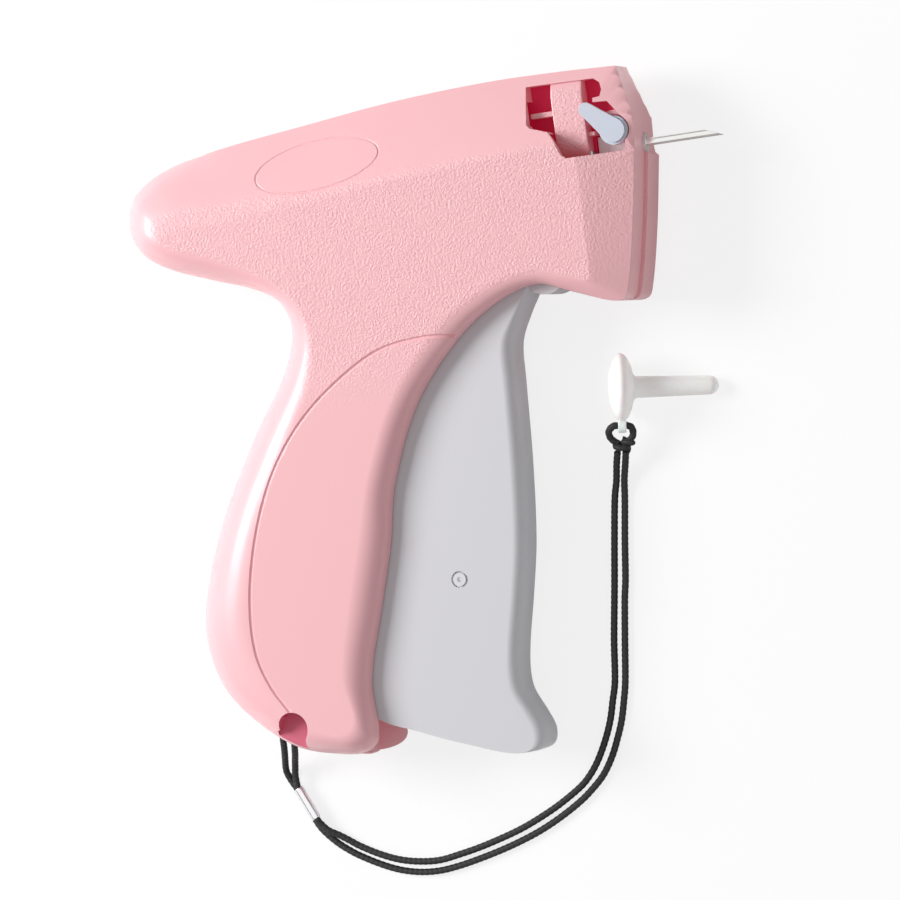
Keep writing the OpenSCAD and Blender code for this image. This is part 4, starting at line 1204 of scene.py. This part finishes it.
def ferrule_section(along, grow):
    """A ring of the ferrule at a distance along it."""
    points = []
    for k in range(ferrule_sides):
        angle = tau * k / ferrule_sides
        reach = ferrule_thick / 2 + grow
        side = reach * cos(angle) + (cord_diameter / 2 if cos(angle) > 0 else -cord_diameter / 2)
        waist = 1 - waist_depth * max(0.0, 1 - abs(side) / (cord_diameter / 2))
        over = reach * sin(angle) * waist
        points.append(
            ferrule_start + ferrule_way * along + ferrule_side * side + ferrule_over * over
        )
    return points


ferrule_rings = [
    (0.0, -0.25), (0.12, -0.08), (0.4, 0.0), (ferrule_length - 0.4, 0.0),
    (ferrule_length - 0.12, -0.08), (ferrule_length, -0.25),
]
ring_points = [p for along, grow in ferrule_rings for p in ferrule_section(along, grow)]
ring_faces = []
for k in range(len(ferrule_rings) - 1):
    for i in range(ferrule_sides):
        a = k * ferrule_sides + i
        b = k * ferrule_sides + (i + 1) % ferrule_sides
        ring_faces.append((a, b, b + ferrule_sides, a + ferrule_sides))
ring_faces.append(tuple(range(ferrule_sides)))
ring_faces.append(tuple(len(ring_points) - ferrule_sides + i for i in range(ferrule_sides)))
ferrule = new_object("crimped_ferrule", ring_points, ring_faces, [aluminium])
soften(ferrule, 0.12, 50)
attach(ferrule, "casing")
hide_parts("ferrule")
print("ferrule:", len(ferrule.data.polygons), "faces")

# %% [markdown]
# The needle's cap is moulded in natural polyethylene. Light goes into it and comes out a little
# further on, so its edges are softer than those of the acetal; its milky white glow is partly that
# scattering and partly a faint painted white glow from emission. It was moulded round a straight
# core, so it is a body of revolution: a tube that tapers to a round end, and a lens-shaped finger
# flange with one flat tab for the cord.

# %% The cap's material
# The faint white emission on the cap is a painted glow.
ldpe_painted_glow, _ = new_material(
    "polyethylene_painted_glow", "#F4F4F2", 0.38, IOR=1.51, Subsurface_Weight=0.35,
    Subsurface_Scale=0.0025, Emission_Color=linear("#F4F4F4"), Emission_Strength=0.12,
)

# %% The cap
cap_at = (-16.42, -57.6)
cap_turn = radians(-6)
flange_radius = 8.3
flange_bulge = 3.2
root_radius = 2.65
tip_radius = 2.3
cap_reach = 21.4
cap_slant = sqrt(flange_radius**2 + cap_reach**2)
cap_tilt = atan(flange_radius / cap_reach) - asin(tip_radius / cap_slant)
rim_height = sqrt((flange_radius * cos(cap_tilt)) ** 2 + (flange_bulge * sin(cap_tilt)) ** 2)
cap_height = rim_height + 0.02
cap_profile = [
    (flange_radius * cos(radians(a)), flange_bulge * sin(radians(a))) for a in range(-81, 64, 4)
]
tube_start = 3.8
cap_profile += [(root_radius + 0.5, 3.05), (root_radius + 0.2, 3.3), (root_radius, tube_start)]
cap_profile += [
    (root_radius + (tip_radius - root_radius) * k / 8,
     tube_start + (cap_reach - tube_start) * k / 8)
    for k in range(1, 9)
]
cap_profile += [
    (tip_radius * cos(pi / 2 * k / 10), cap_reach + tip_radius * sin(pi / 2 * k / 10))
    for k in range(1, 10)
]
bore_profile = [(0.7, 20.4), (1.15, 20), (1.2, 12), (1.2, -3.4)]


def turned_part(name, profile, material, sides=72):
    """A closed body of revolution about z from (radius, height) pairs."""
    points = [
        (r * cos(tau * k / sides), r * sin(tau * k / sides), h)
        for r, h in profile for k in range(sides)
    ]
    rows = len(profile)
    faces = [
        (i * sides + k, i * sides + (k + 1) % sides, (i + 1) * sides + (k + 1) % sides,
         (i + 1) * sides + k)
        for i in range(rows - 1) for k in range(sides)
    ]
    faces.append(tuple(reversed(range(sides))))
    faces.append(tuple((rows - 1) * sides + k for k in range(sides)))
    return new_object(name, points, faces, [material])


def cap_point(x, y, z):
    """A point of the cap's own axes, z along the tube, in millimetres about the muzzle."""
    p = Vector((x, y, z))
    p.rotate(Matrix.Rotation(pi / 2 + cap_tilt, 3, "Y"))
    p.rotate(Matrix.Rotation(cap_turn, 3, "Z"))
    return p + Vector((*cap_at, cap_height - half_width))


cap = turned_part("cap_body", cap_profile, ldpe_painted_glow)
cap_bore = turned_part("cap_bore", bore_profile[::-1], ldpe_painted_glow, 40)
cut(cap, cap_bore)
eye = flange_radius + 0.9
eye_radius = 1.1
tab_outline = bar_outline((0, -eye), (0, -eye + 4), 1.8, 2.2)
tab = prism("cap_tab", tab_outline, -1, 1, ldpe_painted_glow)
cut(tab, round_cutter("cap_eye", (0, -eye), eye_radius, -2, 2, ldpe_painted_glow, 32))
soften(tab, 0.25)
shade(cap, 50)
cap = join([cap, tab])
for vertex in cap.data.vertices:
    own = (vertex.co - muzzle) * 1000
    vertex.co = place(*cap_point(*own))
cap.data.update()
cap.name = "needle_cap_moulding"
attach(cap, "casing")
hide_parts("needle_cap")
print("cap:", len(cap.data.polygons), "faces")

# %% [markdown]
# A free cord is a fixed length of something flexible. The two strands and the knot are parented to
# the casing, and they replace their CAD solids.

for (strand, route), points in zip(strands, (strand_1_points, strand_2_points)):
    first = strand.name.endswith("1")
    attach(strand, "casing")
    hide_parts("cord_strand_1" if first else "cord_strand_2")
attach(hitch, "casing")
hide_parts("cord_hitch")
print("cords:", [strand.name for strand, route in strands], "and", hitch.name)

# %% View transform
bpy.context.scene.view_settings.view_transform = "Standard"
